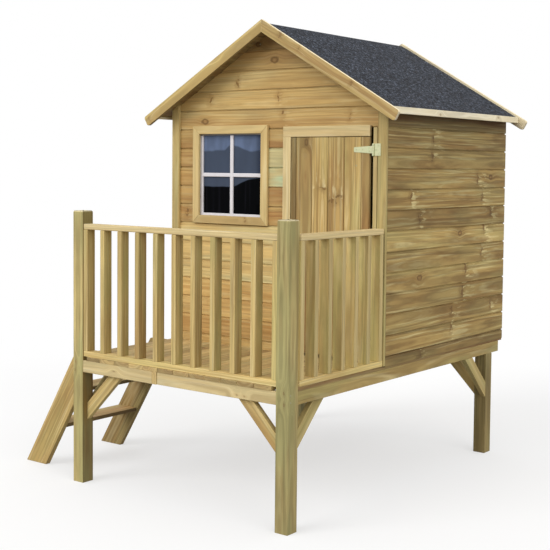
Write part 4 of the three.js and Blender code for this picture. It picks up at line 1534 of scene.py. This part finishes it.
@dataclass(frozen=True)
class Wall:
    """What one wall is made of.

    The boards run along the axis, and the inside lies the inward way on the other level axis. The
    first board hangs under the floor's top by foot_drop. Tones go from the floor up, and the inlay's,
    between two openings, from the top down. A knot lies at a place along the axis and at a share of
    its board's height.
    """

    node: str
    wood: Wood
    slot: Slot
    axis: int
    inward: int
    openings: Sequence[Opening] = ()
    foot_drop: float = 0.0
    tones: Sequence[Tone] = ()
    inlay: Sequence[Tone] = ()
    knots: Sequence[tuple[int, Knot]] = ()


@dataclass
class Siding:
    """Walls of lapped boards, each board with its lip, lap and hidden tongue."""

    dresser: Dresser
    roof: Roofline
    mill: Sawmill = field(default_factory=lambda: Sawmill(41))
    pitch: float = 0.0976
    first_lap: float = 0.0473
    thickness: float = 0.0136
    lap_depth: float = 0.0065
    lap_shadow: float = 0.005
    lap_bevel: float = 0.008
    tongue: float = 0.006
    lip: float = 0.0036
    foot_round: float = 0.001
    pith_across: Pair = (-0.05, 0.05)
    pith_depth: Pair = (0.015, 0.06)
    trim_lap: float = 0.028
    side_drop: float = 0.004

    def profile(self) -> list[Pair]:
        """Draws a board's section.

        Returns:
            Each point's depth behind the weather face and height above the board's foot.
        """
        top, back = self.pitch, self.thickness
        return [
            (self.foot_round, 0.0), (0.0, self.foot_round), (0.0, top - self.lap_bevel),
            (self.lap_depth, top - self.lap_shadow), (self.lap_depth, top + self.tongue),
            (back, top + self.tongue), (back, self.tongue + self.foot_round),
            (self.lip, self.tongue + self.foot_round), (self.lip, 0.0),
        ]

    def pattern(self, name: str, place: SectionPlace, push: Vector) -> Piece:
        """A full board, drawn as a section and pushed along the wall.

        Args:
            name: The pattern's name.
            place: Turns a section point into a point of the frame.
            push: The way from the section to the far end.

        Returns:
            The pattern, with its foot at height zero.
        """
        points = self.profile()
        bpy.ops.object.select_all(action="DESELECT")
        bpy.ops.mesh.primitive_circle_add(vertices=len(points), radius=1.0, fill_type="NGON")
        piece = bpy.context.active_object
        for vertex, (depth, height) in zip(piece.data.vertices, points):
            vertex.co = place(depth, height)
        edit_piece(piece)
        bpy.ops.mesh.extrude_region_move(TRANSFORM_OT_translate={"value": push})
        bpy.ops.mesh.select_all(action="SELECT")
        bpy.ops.mesh.normals_make_consistent(inside=False)
        leave_edit()
        piece.name = name
        return piece

    def rows(self, foot: float, head: float) -> list[Span]:
        """Finds the boards of a wall.

        Args:
            foot: Where the first board starts.
            head: Where the wall ends.

        Returns:
            The height of each board's foot and of its lap with the next one.
        """
        found = []
        lap = foot + self.first_lap - self.pitch
        while lap < head:
            found.append(Span(lap, lap + self.pitch))
            lap += self.pitch
        return found

    def build_wall(self, wall: Wall) -> None:
        """Builds one wall board by board.

        Args:
            wall: What it is made of.
        """
        spans, axis = spans_of(wall.node), wall.axis
        along, other, height = spans[axis], spans[1 - axis], spans[2]
        face = other.low if wall.inward > 0 else other.high

        def place(depth: float, level: float) -> Vector:
            """Turns a section point into a point of the frame."""
            flat = (along.low, face + wall.inward * depth)
            return Vector((flat[axis], flat[1 - axis], level))

        pattern = self.pattern(f"{wall.node}_pattern", place, AXES[axis] * along.length)
        parts = []
        short = list(wall.inlay)
        gable = self.roof.gable_cuts()
        boards = list(enumerate(self.rows(height.low + wall.foot_drop, height.high)))
        for index, row in reversed(boards):
            drawn = self.mill.tone(0.12, 0.25, 0.18)
            whole = wall.tones[index] if index < len(wall.tones) else drawn
            pith = (self.mill.draw.uniform(*self.pith_across), self.mill.draw.uniform(*self.pith_depth))
            local = [replace(knot, along=knot.along - along.middle, across=(knot.across - 0.5) * self.pitch)
                     for board, knot in wall.knots if board == index]
            start = self.mill.draw.uniform(0.0, self.mill.tree_length)
            centre = Vector((0.0, 0.0, row.middle))
            centre[axis] = along.middle
            centre[1 - axis] = face
            stretches = self.stretches(row, along, height, wall.openings)
            between = short.pop(0) if len(stretches) > 2 and short else whole
            for stretch, band in stretches:
                tone = between if along.low < stretch.low and stretch.high < along.high else whole
                piece = copy_piece(pattern, "siding_board", Z_AXIS * row.low)
                cut_piece(piece, self.edge_cuts(axis, stretch, along, band, row) + gable)
                if not piece.data.polygons:
                    delete_pieces(piece)
                    continue
                parts.append(self.mill.mark(piece, AXES[axis], Z_AXIS, tone, pith, start, centre,
                                            local if wall.tones else None))
        delete_pieces(pattern)
        self.dresser.timber(f"{wall.node}_boards", parts, wall.wood, wall.slot, wall.node)

    def edge_cuts(self, axis: int, stretch: Span, along: Span, band: Span, row: Span) -> list[Cut]:
        """Finds the cuts that leave a part of a board.

        Args:
            axis: The axis that the board runs along.
            stretch: The part's stretch along it.
            along: The wall's length.
            band: The part's height.
            row: The board's own height.

        Returns:
            A cut wherever the part ends before the board does.
        """
        cuts = []
        for way, part, whole in ((AXES[axis], stretch, along), (Z_AXIS, band, row)):
            if part.low > whole.low:
                cuts.append(Cut(way * part.low, -way))
            if part.high < whole.high:
                cuts.append(Cut(way * part.high, way))
        return cuts

    def stretches(self, row: Span, along: Span, height: Span,
                  openings: Sequence[Opening]) -> list[tuple[Span, Span]]:
        """Splits a board round the openings.

        Args:
            row: The board's own height.
            along: The wall's length.
            height: The wall's height.
            openings: The holes in it.

        Returns:
            Stretches along the wall, each with its band of height.
        """
        levels = {max(row.low, height.low), row.high}
        for opening in openings:
            levels.update(z for z in (opening.height.low, opening.height.high) if row.low < z < row.high)
        ordered = sorted(levels)
        found = []
        for low, high in zip(ordered, ordered[1:]):
            middle = (low + high) / 2
            left = along.low
            holes = sorted((o for o in openings if o.height.low < middle < o.height.high),
                           key=lambda o: o.across.low)
            for hole in holes:
                found.append((Span(left, hole.across.low), Span(low, high)))
                left = hole.across.high
            found.append((Span(left, along.high), Span(low, high)))
        return found

    def build(self) -> None:
        """Models and dresses the four walls."""
        x, _, z = spans_of("window_trim")
        window = Opening(*(Span(span.low + self.trim_lap, span.high - self.trim_lap) for span in (x, z)))
        strip = spans_of("door_jamb_strip")
        door = Opening(Span(spans_of("door_side_trim")[0].high, strip[0].low), Span(0.0, strip[2].high))
        for wall in (
                Wall("wall_front", Wood.SIDING, Slot.PINE, 0, 1, (window, door), tones=FRONT_TONES,
                     inlay=INLAY_TONES, knots=FRONT_KNOTS),
                Wall("wall_rear", Wood.SIDING, Slot.PINE, 0, -1),
                Wall("wall_left", Wood.SIDE_SIDING, Slot.SIDE_PINE, 1, 1, (), self.side_drop),
                Wall("wall_right", Wood.SIDE_SIDING, Slot.SIDE_PINE, 1, -1, (), self.side_drop,
                     SIDE_TONES, knots=SIDE_KNOTS)):
            self.build_wall(wall)


@dataclass
class Framing:
    """The frame inside the walls, and the trim boards outside them."""

    dresser: Dresser
    roof: Roofline
    mill: Sawmill = field(default_factory=lambda: Sawmill(53))
    frame_ease: float = 0.0015
    trim_ease: float = 0.0022
    corner_tones: dict[str, Tone] = field(default_factory=lambda: {
        "left": Tone(0.98, 0.0, 0.2), "right": Tone(0.87, 0.1, 0.35)})

    def build_frame(self) -> None:
        """Studs, wall plates and the ridge beam."""
        cuts = self.roof.gable_cuts()
        for side in ("left", "right"):
            self.frame_board(f"stud_front_{side}", ())
            self.frame_board(f"stud_rear_{side}", ())
            self.frame_board(f"wall_plate_{side}", cuts)
        self.frame_board("ridge_beam", cuts)
        self.frame_board("door_stud", cuts)

    def frame_board(self, node: str, cuts: Sequence[Cut]) -> None:
        """One piece of the frame, filling its node's box under the roof."""
        piece = self.mill.node_board(node, self.mill.tone(0.08, 0.2), self.frame_ease, cuts)
        self.dresser.timber(f"{node}_timber", [piece], Wood.FRAME, Slot.PINE, node)

    def build_trims(self) -> None:
        """Corner boards and the boards round the door."""
        cuts = self.roof.gable_cuts()
        for side, tone in self.corner_tones.items():
            node = f"corner_board_{side}"
            piece = self.mill.node_board(node, tone, self.trim_ease, cuts, knots=())
            self.dresser.timber(f"corner_trim_{side}", [piece], Wood.RAIL, Slot.PINE, node)
        for node, name, wood, slot, tone in (
                ("door_jamb_strip", "hinge_side_strip", Wood.TRIM, Slot.GREEN_PINE, Tone(0.9, 0.0, 0.25)),
                ("door_side_trim", "latch_side_trim", Wood.HAND_RAIL, Slot.PALE_PINE, Tone(1.05)),
                ("door_head_trim", "door_head_board", Wood.HAND_RAIL, Slot.PALE_PINE, Tone(1.0))):
            piece = self.mill.node_board(node, tone, self.trim_ease, knots=())
            self.dresser.timber(name, [piece], wood, slot, node)

    def build(self) -> None:
        """Models and dresses the frame and the trims."""
        self.build_frame()
        self.build_trims()


@dataclass
class Window:
    """Mitred trim boards, the white sash with its bars, and the pane."""

    dresser: Dresser
    mill: Sawmill = field(default_factory=lambda: Sawmill(61))
    trim_width: float = 0.042
    trim_ease: float = 0.0022
    trim_spread: float = 0.04
    foot_tone: Tone = Tone(0.9, 0.18)
    foot_knots: tuple[Knot, ...] = (Knot(0.11, 0.0, 0.006, True),)
    bar_width: float = 0.024
    head_width: float = 0.019
    bar_ease: float = 0.002
    muntin: float = 0.02
    muntin_ease: float = 0.003
    front_depth: float = 0.015
    recess: float = 0.005
    rebate: float = 0.008
    rebate_ease: float = 0.001
    overlap: float = 0.0004
    housing: float = 0.0015

    def mitred(self, spans: Sequence[Span], corners: Sequence[tuple[float, float, int, int]], tone: Tone,
               ease: float, knots: Sequence[Knot] = ()) -> Piece:
        """A board mitred at outer corners, each given by its x and z and the cut's x and z signs."""
        cuts = [Cut(Vector((x, 0.0, z)), Vector((right, 0.0, up)).normalized())
                for x, z, right, up in corners]
        return self.mill.board(spans, tone, ease, cuts, knots=knots)

    def frame_of(self, spans: Sequence[Span], width: float, ease: float, spread: float) -> list[Piece]:
        """Four mitred boards round a rectangle.

        Args:
            spans: Its outer width, its depth and its outer height.
            width: How wide each board is.
            ease: How far its edges are rounded.
            spread: How much the boards' tones differ.

        Returns:
            The four boards.
        """
        x, y, z = spans
        foot = [(x.low, z.low, -1, 1), (x.high, z.low, 1, 1)]
        head = [(x.low, z.high, -1, -1), (x.high, z.high, 1, -1)]
        left = [(x.low, z.low, 1, -1), (x.low, z.high, 1, 1)]
        right = [(x.high, z.low, -1, -1), (x.high, z.high, -1, 1)]
        return [
            self.mitred((x, y, Span(z.low, z.low + width)), foot, self.foot_tone, ease, self.foot_knots),
            self.mitred((x, y, Span(z.high - width, z.high)), head, Tone(), ease),
            self.mitred((Span(x.low, x.low + width), y, z), left, self.mill.tone(spread), ease),
            self.mitred((Span(x.high - width, x.high), y, z), right, self.mill.tone(spread), ease),
        ]

    def build(self) -> None:
        """Models and dresses the window."""
        boards = self.frame_of(spans_of("window_trim"), self.trim_width, self.trim_ease, self.trim_spread)
        self.dresser.timber("window_surround", boards, Wood.TRIM, Slot.PALE_PINE, "window_trim")
        x, y, z = spans_of("window_sash")
        front = Span(y.low + self.recess, y.low + self.front_depth)
        left, right = Span(x.low, x.low + self.bar_width), Span(x.high - self.bar_width, x.high)
        foot, head = Span(z.low, z.low + self.bar_width), Span(z.high - self.head_width, z.high)
        between = Span(left.high - self.overlap, right.low + self.overlap)
        parts = [self.mill.board(board, Tone(), self.bar_ease, knots=()) for board in (
            (left, front, z), (right, front, z), (between, front, foot), (between, front, head))]
        parts += self.frame_of((x, Span(front.high, y.high), z), self.bar_width - self.rebate,
                               self.rebate_ease, 0.0)
        inner_x = Span(left.high - self.housing, right.low + self.housing)
        inner_z = Span(foot.high - self.housing, head.low + self.housing)
        half = self.muntin / 2
        across, level = (Span(span.middle - half, span.middle + half) for span in (x, z))
        for bar in ((across, front, inner_z), (inner_x, Span(front.low + self.overlap, front.high), level)):
            parts.append(self.mill.board(bar, Tone(), self.muntin_ease))
        sash = join_pieces("window_bars", parts)
        self.dresser.dress(sash, self.dresser.palette.paint, Slot.WHITE_PAINT, HOUSE, ["window_sash"])
        self.dresser.paint_over(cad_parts["window_pane"], self.dresser.palette.glass)


@dataclass
class Door:
    """The plank leaf with its ledges, and the hinges."""

    dresser: Dresser
    mill: Sawmill = field(default_factory=lambda: Sawmill(71))
    plank_width: float = 0.095
    plank_thickness: float = 0.016
    gap: float = 0.0008
    joint: float = 0.0042
    joint_steps: int = 2
    ledge_height: float = 0.07
    ledge_inset: float = 0.015
    ledge_from_foot: float = 0.053
    ledge_from_head: float = 0.06
    ledge_ease: float = 0.005
    hinge_plank: float = 0.048
    # Tones go from the hinge side; the last, narrow plank beside the latch-side trim is darkened partly as
    # painted shade.
    tones: tuple[Tone, ...] = (Tone(0.88, 0.6), Tone(1.12, 0.0, 0.2), Tone(0.98, 0.25), Tone(1.14),
                               Tone(0.82, 0.75), Tone(0.52, 0.15, 0.2))
    knots: tuple[tuple[int, Knot], ...] = (
        (2, Knot(1.388, 0.547, 0.011, True)), (2, Knot(1.413, 0.593, 0.01, True)),
        (3, Knot(1.448, 0.497, 0.008, True)), (4, Knot(1.672, 0.391, 0.01)))

    def plank(self, spans: Sequence[Span], tone: Tone, knots: Sequence[Knot]) -> Piece:
        """A plank with bevelled joints on its face.

        Args:
            spans: Its stretches along X, Y and Z.
            tone: How it differs from its neighbours.
            knots: Its knots, at their places in the closed door.

        Returns:
            The plank.
        """
        x, y, z = spans
        piece = self.mill.filling(spans)
        bevel_edges(piece, self.joint, self.joint_steps,
                    lambda a, b: abs(a.z - b.z) > self.ledge_height and max(a.y, b.y) < y.middle)
        local = [replace(knot, along=knot.along - z.middle, across=knot.across - x.middle) for knot in knots]
        return self.mill.mark(piece, Z_AXIS, X_AXIS, tone, knots=local)

    def build(self) -> None:
        """Models and dresses the leaf, and dresses the hinges."""
        x, y, z = spans_of("door_leaf")
        front = Span(y.low, y.low + self.plank_thickness)
        parts = []
        right, width = x.high, self.hinge_plank
        for index, tone in enumerate(self.tones):
            left = max(right - width, x.low)
            knots = [knot for plank, knot in self.knots if plank == index]
            parts.append(self.plank((Span(left + self.gap, right - self.gap), front, z), tone, knots))
            right, width = left, self.plank_width
        across = Span(x.low + self.ledge_inset, x.high - self.ledge_inset)
        behind = Span(front.high, y.high)
        low, high = z.low + self.ledge_from_foot, z.high - self.ledge_from_head
        for centre in (low, (low + high) / 2, high):
            level = Span(centre - self.ledge_height / 2, centre + self.ledge_height / 2)
            parts.append(self.mill.board((across, behind, level), self.mill.tone(0.06, 0.1), self.ledge_ease))
        self.dresser.timber("door_planks", parts, Wood.DOOR, Slot.PINE, "door_leaf", DOOR)
        for level in ("lower", "upper"):
            for node in (f"hinge_strap_{level}", f"hinge_plate_{level}"):
                self.dresser.paint_over(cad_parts[node], self.dresser.palette.zinc)


@dataclass
class Screws:
    """Countersunk screw heads in the door's jamb strip, the gable, a front post and the hinges."""

    dresser: Dresser
    sides: int = 20
    radius: float = 0.0042
    height: float = 0.0012
    edge_share: float = 0.6
    edge_steps: int = 2
    facing: float = 0.99
    slot_radius: float = 0.0016
    slot_depth: float = 0.0008
    sink: float = 0.0004
    front: tuple[tuple[float, float, str], ...] = (
        (0.684, 1.56, "door_jamb_strip"), (0.684, 0.82, "door_jamb_strip"), (0.061, 2.194, "wall_front"),
        (0.151, 2.191, "wall_front"), (0.087, 2.164, "wall_front"))
    side: tuple[tuple[float, float, str], ...] = (
        (-0.967, 0.593, "post_front_right"), (-0.966, 0.563, "post_front_right"))
    hinge_gauge: float = 0.0024
    strap: tuple[Pair, ...] = ((0.12, 0.0), (0.42, 0.0), (0.76, 0.008), (0.76, -0.008))
    plate: tuple[Pair, ...] = ((0.75, 0.019), (0.75, -0.019), (0.45, 0.0))

    def pattern(self) -> Piece:
        """A screw head that faces the front.

        Returns:
            The head, with its middle at the origin.
        """
        bpy.ops.object.select_all(action="DESELECT")
        bpy.ops.mesh.primitive_cylinder_add(vertices=self.sides, radius=self.radius, depth=self.height * 2,
                                            rotation=(math.radians(90), 0.0, 0.0))
        piece = bpy.context.active_object
        bpy.ops.object.transform_apply(location=True, rotation=True, scale=True)
        bevel_edges(piece, self.height * self.edge_share, self.edge_steps, lambda a, b: max(a.y, b.y) < 0.0)
        edit_piece(piece, "DESELECT", "FACE")
        bpy.ops.object.mode_set(mode="OBJECT")
        for polygon in piece.data.polygons:
            polygon.select = polygon.normal.y < -self.facing
        bpy.ops.object.mode_set(mode="EDIT")
        bpy.ops.mesh.inset(thickness=self.radius - self.height - self.slot_radius, depth=0.0)
        bpy.ops.mesh.extrude_region_move(TRANSFORM_OT_translate={"value": (0.0, self.slot_depth, 0.0)})
        leave_edit()
        return piece

    def build(self) -> None:
        """Models the head once and sets a copy at every place."""
        pattern = self.pattern()
        heads = [copy_piece(pattern, "screw", Vector((x, spans_of(node)[1].low + self.sink, z)))
                 for x, z, node in self.front]
        quarter = Matrix.Rotation(math.radians(90), 4, "Z")
        for y, z, node in self.side:
            head = copy_piece(pattern, "screw", Vector())
            head.data.transform(Matrix.Translation((spans_of(node)[0].high - self.sink, y, z)) @ quarter)
            heads.append(head)
        self.dresser.dress(join_pieces("screw_heads", heads), self.dresser.palette.screw, Slot.ZINC)
        for level in ("lower", "upper"):
            self.hinge(pattern, f"hinge_strap_{level}", self.strap, DOOR)
            self.hinge(pattern, f"hinge_plate_{level}", self.plate, HOUSE)
        delete_pieces(pattern)

    def hinge(self, pattern: Piece, node: str, places: Sequence[Pair], body: str) -> None:
        """Sets heads in one hinge leaf.

        Args:
            pattern: The head.
            node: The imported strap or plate.
            places: Each head's share of the leaf's width and its height from the middle.
            body: The body that the leaf moves with.
        """
        x, y, z = spans_of(node)
        face = y.high - self.hinge_gauge + self.sink
        heads = [copy_piece(pattern, "screw", Vector((x.low + x.length * share, face, z.middle + rise)))
                 for share, rise in places]
        self.dresser.dress(join_pieces(f"{node}_screws", heads), self.dresser.palette.zinc, Slot.ZINC, body)


@dataclass
class Roof:
    """Boards, felt, eave fascias and barge boards."""

    dresser: Dresser
    roof: Roofline
    mill: Sawmill = field(default_factory=lambda: Sawmill(83))
    board_width: float = 0.095
    board_thickness: float = 0.015
    board_gap: float = 0.0008
    board_ease: float = 0.0022
    boards_top: float = 0.0133
    ridge_gap: float = 0.0003
    # Painted shade and dirt on the underside of the roof boards, under the overhang.
    soffit_shade_and_dirt: Tone = Tone(0.58, 0.35)
    felt_top: float = 0.01
    felt_fold: float = 0.004
    felt_sink: float = 0.0012
    felt_wave: float = 0.0002
    felt_thickness: float = 0.0018
    felt_seed: int = 97
    eave_tone: Tone = Tone(1.05, 0.0, 0.06)
    barge_width: float = 0.054
    barge_reach: float = 0.795
    barge_ease: float = 0.0015
    barge_tones: dict[int, Tone] = field(default_factory=lambda: {
        -1: Tone(1.08, 0.0, 0.25), 1: Tone(0.95, 0.38)})
    barge_top: Tone = Tone(1.3)
    # Painted shade and dirt on the barge boards' undersides.
    barge_underside_shade_and_dirt: Tone = Tone(0.5, 0.2, 0.3)
    barge_back: Tone = Tone(0.88)
    tip_round: float = 0.012
    tip_steps: int = 5
    knots: dict[str, tuple[Knot, ...]] = field(default_factory=lambda: {
        "barge_front_left": (Knot(0.328, 0.022, 0.005), Knot(0.88, -0.012, 0.006, True)),
        "barge_front_right": (Knot(0.13, 0.006, 0.008, True), Knot(0.265, 0.008, 0.005, True),
                              Knot(0.62, 0.0, 0.005, True))})

    def slope_point(self, sign: int, run: float, depth: float, y: float) -> Vector:
        """A point on a slope.

        Args:
            sign: 1 for the right slope and -1 for the left one.
            run: How far down the slope from the ridge.
            depth: How far square under the barge boards' top edge.
            y: Its place along the ridge.

        Returns:
            The point.
        """
        pitch = self.roof.pitch
        x = self.roof.middle + sign * (run * math.cos(pitch) - depth * math.sin(pitch))
        z = self.roof.ridge - run * math.sin(pitch) - depth * math.cos(pitch)
        return Vector((x, y, z))

    def build_boards(self) -> None:
        """Boards from gable to gable under the felt."""
        pitch = self.roof.pitch
        depth = self.boards_top + self.board_thickness / 2
        for side, sign in (("left", -1), ("right", 1)):
            node = f"roof_boards_{side}"
            x, y, _ = spans_of(node)
            run_end = (x.length + self.ridge_gap) / math.cos(pitch) + self.boards_top * math.tan(pitch)
            size = Vector((self.board_width - self.board_gap, y.length, self.board_thickness))
            eave = x.high if sign > 0 else x.low
            cuts = [Cut(X_AXIS * eave, X_AXIS * sign), Cut(X_AXIS * self.roof.middle, X_AXIS * -sign)]
            down = Matrix.Rotation(sign * pitch, 3, Y_AXIS) @ X_AXIS
            parts = []
            start = 0.0
            while start < run_end + self.board_width:
                centre = self.slope_point(sign, start + self.board_width / 2, depth, y.middle)
                piece = self.mill.block(centre, size, (0.0, sign * pitch, 0.0))
                cut_piece(piece, cuts)
                if piece.data.polygons:
                    self.mill.ease(piece, self.board_ease, 1)
                    parts.append(self.mill.mark(piece, Y_AXIS, down, self.mill.tone(0.08, 0.15)))
                    # Painted shade and dirt on the boards' underside.
                    self.mill.stain(piece, Y_AXIS.cross(down), self.soffit_shade_and_dirt)
                else:
                    delete_pieces(piece)
                start += self.board_width
            self.dresser.timber(f"roof_planking_{side}", parts, Wood.FRAME, Slot.PINE, node)

    def build_felt(self) -> None:
        """One sheet folded over the ridge, with a soft fold and a slight waviness."""
        x, y, _ = spans_of("roof_felt")
        pitch = self.roof.pitch
        bpy.ops.object.select_all(action="DESELECT")
        bpy.ops.mesh.primitive_grid_add(x_subdivisions=48, y_subdivisions=36, size=2.0)
        felt = bpy.context.active_object
        edit_piece(felt)
        bpy.ops.transform.resize(value=(x.length / 2, y.length / 2, 1.0))
        bpy.ops.transform.translate(value=(x.middle, y.middle, 0.0))
        leave_edit()
        draw = random.Random(self.felt_seed)
        waves = [(draw.uniform(2, 9), draw.uniform(2, 9), draw.uniform(0, 6)) for _ in range(5)]
        top = self.roof.ridge - self.felt_top / math.cos(pitch) - self.felt_sink
        for vertex in felt.data.vertices:
            away = math.hypot(vertex.co.x - self.roof.middle, self.felt_fold)
            wave = sum(math.sin(a * vertex.co.x + b * vertex.co.y + c) for a, b, c in waves)
            vertex.co.z = top - away * math.tan(pitch) - self.felt_wave * wave
        pick(felt)
        bpy.ops.object.modifier_add(type="SOLIDIFY")
        felt.modifiers[-1].thickness = self.felt_thickness
        felt.modifiers[-1].offset = -1.0
        bpy.ops.object.modifier_apply(modifier=felt.modifiers[-1].name)
        bpy.ops.object.shade_smooth_by_angle(angle=math.radians(40))
        felt.name = "felt_sheet"
        self.dresser.dress(felt, self.dresser.palette.felt, Slot.FELT, HOUSE, ["roof_felt"])

    def build_edges(self) -> None:
        """Eave fascias and barge boards."""
        for side, sign in (("left", -1), ("right", 1)):
            node = f"eave_fascia_{side}"
            piece = self.mill.node_board(node, self.eave_tone)
            self.dresser.timber(f"eave_board_{side}", [piece], Wood.EAVE, Slot.PALE_PINE, node)
            for end in ("front", "rear"):
                self.barge(f"barge_{end}_{side}", sign)

    def barge(self, node: str, sign: int) -> None:
        """One barge board, plumb cut at the ridge and rounded at its tip.

        Args:
            node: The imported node.
            sign: 1 for the right slope and -1 for the left one.
        """
        x, y, _ = spans_of(node)
        length = self.barge_reach / math.cos(self.roof.pitch)
        centre = self.slope_point(sign, length / 2, self.barge_width / 2, y.middle)
        turn = sign * self.roof.pitch
        piece = self.mill.block(centre, Vector((length, y.length, self.barge_width)), (0.0, turn, 0.0))
        cut_piece(piece, [Cut(X_AXIS * (x.low if sign > 0 else x.high), X_AXIS * -sign)])
        tip = self.slope_point(sign, length, self.barge_width / 2, y.middle)
        bevel_edges(piece, self.tip_round, self.tip_steps,
                    lambda a, b: abs(a.y - b.y) > y.length / 2
                    and ((a + b) / 2 - tip).length < self.barge_width)
        self.mill.ease(piece, self.barge_ease)
        down, up = (Matrix.Rotation(turn, 3, Y_AXIS) @ axis for axis in (X_AXIS, Z_AXIS))
        knots = None
        if node in self.knots:
            knots = [replace(knot, along=sign * (knot.along - length / 2)) for knot in self.knots[node]]
        self.mill.mark(piece, down, up, self.barge_tones[sign], knots=knots)
        self.mill.stain(piece, up, self.barge_top, bleached=True)
        # Painted shade and dirt on the underside.
        self.mill.stain(piece, -up, self.barge_underside_shade_and_dirt)
        if node.startswith("barge_rear"):
            self.mill.stain(piece, -Y_AXIS, self.barge_back, bleached=True)
        self.dresser.timber(f"{node}_board", [piece], Wood.BARGE, Slot.PALE_PINE, node)

    def build(self) -> None:
        """Models and dresses the roof."""
        self.build_boards()
        self.build_felt()
        self.build_edges()


@dataclass
class Studio:
    """Floor, light and camera."""

    focal_length: float = 73.70
    sensor: float = 36.0
    shift: float = -0.0802
    eye: Vector = field(default_factory=lambda: Vector((3.6364, -4.7051, 1.5512)))
    yaw: float = math.radians(37.712)
    dip: float = math.radians(3.260)
    roll: float = math.radians(0.525)
    sight: float = 200.0
    floor_size: float = 60.0
    floor_drop: float = 0.0005
    floor_tone: Colour = (0.3, 0.29, 0.27)
    floor_seen: Colour = (0.93, 0.93, 0.93)
    floor_glow: float = 0.55
    floor_fade: Pair = (1.6, 4.5)
    lamp_height: float = 6.0
    lamps: dict[str, tuple[Triple, float, float]] = field(default_factory=lambda: {
        "key": ((0.3, 0.85, -0.5), 1.45, 38.0), "fill": ((-0.9, 0.35, -0.4), 1.15, 50.0)})
    sky: float = 0.75

    def build_camera(self) -> None:
        """The camera at the photograph's viewing angle."""
        forward = Vector((-math.sin(self.yaw) * math.cos(self.dip), math.cos(self.yaw) * math.cos(self.dip),
                          -math.sin(self.dip)))
        level = Vector((math.cos(self.yaw), math.sin(self.yaw), 0.0))
        above = level.cross(forward)
        right = math.cos(self.roll) * level + math.sin(self.roll) * above
        up = -math.sin(self.roll) * level + math.cos(self.roll) * above
        bpy.ops.object.camera_add(location=self.eye)
        camera = bpy.context.active_object
        camera.name = "studio_camera"
        camera.rotation_euler = Matrix((right, up, -forward)).transposed().to_euler()
        camera.data.sensor_width = self.sensor
        camera.data.lens = self.focal_length
        camera.data.shift_y = self.shift
        camera.data.clip_end = self.sight
        bpy.context.scene.camera = camera

    def build_floor(self) -> None:
        """A plain pale floor that keeps the shadow and fades into the background."""
        bpy.ops.mesh.primitive_plane_add(size=self.floor_size, location=(0.0, 0.0, -self.floor_drop))
        floor = bpy.context.active_object
        floor.name = "studio_floor"
        material = bpy.data.materials.new("studio_floor")
        material.use_nodes = True
        tree = material.node_tree
        tree.nodes.remove(tree.nodes["Principled BSDF"])
        sheet = Sheet(tree)
        straight = sheet.straight()
        matte = sheet.node("BsdfDiffuse", {"Color": sheet.blend(straight, self.floor_tone, self.floor_seen)})
        white = sheet.node("Emission", {"Color": (1.0, 1.0, 1.0), "Strength": 1.0})
        far = sheet.times(sheet.ramp(sheet.length(sheet.place()), *self.floor_fade), straight)
        glow = sheet.math("MAXIMUM", far, sheet.times(straight, self.floor_glow))
        mixed = sheet.node("MixShader", {0: glow, 1: matte.outputs[0], 2: white.outputs[0]})
        sheet.put(tree.nodes["Material Output"].inputs["Surface"], mixed.outputs[0])
        floor.data.materials.append(material)

    def build_light(self) -> None:
        """Soft light from the front left, a weaker one from the right, and an even sky."""
        for name, (aim, power, spread) in self.lamps.items():
            bpy.ops.object.light_add(type="SUN", location=(0.0, 0.0, self.lamp_height))
            lamp = bpy.context.active_object
            lamp.name = f"studio_{name}"
            lamp.rotation_euler = Vector(aim).to_track_quat("-Z", "Y").to_euler()
            lamp.data.energy = power
            lamp.data.angle = math.radians(spread)
        world = bpy.data.worlds.new("studio")
        bpy.context.scene.world = world
        world.use_nodes = True
        sheet = Sheet(world.node_tree)
        background = world.node_tree.nodes["Background"].inputs
        sheet.put(background["Color"], (1.0, 1.0, 1.0))
        sheet.put(background["Strength"], sheet.line(sheet.straight(), 1.0 - self.sky, self.sky))

    def build(self) -> None:
        """Sets up the studio."""
        self.build_camera()
        self.build_floor()
        self.build_light()
        bpy.context.scene.view_settings.view_transform = "Standard"


def main() -> None:
    """Builds each sub-assembly in order."""
    logging.basicConfig(level=logging.INFO, format="%(name)s: %(message)s")
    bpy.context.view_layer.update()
    Studio().build()
    dresser = Dresser(Palette())
    deck = spans_of("deck")
    roof = Roofline(ridge=spans_of("barge_front_left")[2].high, middle=deck[0].middle)
    Platform(dresser).build()
    Railings(dresser).build()
    Ladder(dresser).build()
    Siding(dresser, roof).build()
    Framing(dresser, roof).build()
    Window(dresser).build()
    Door(dresser).build()
    Roof(dresser, roof).build()
    Screws(dresser).build()


if __name__ == "__main__":
    main()
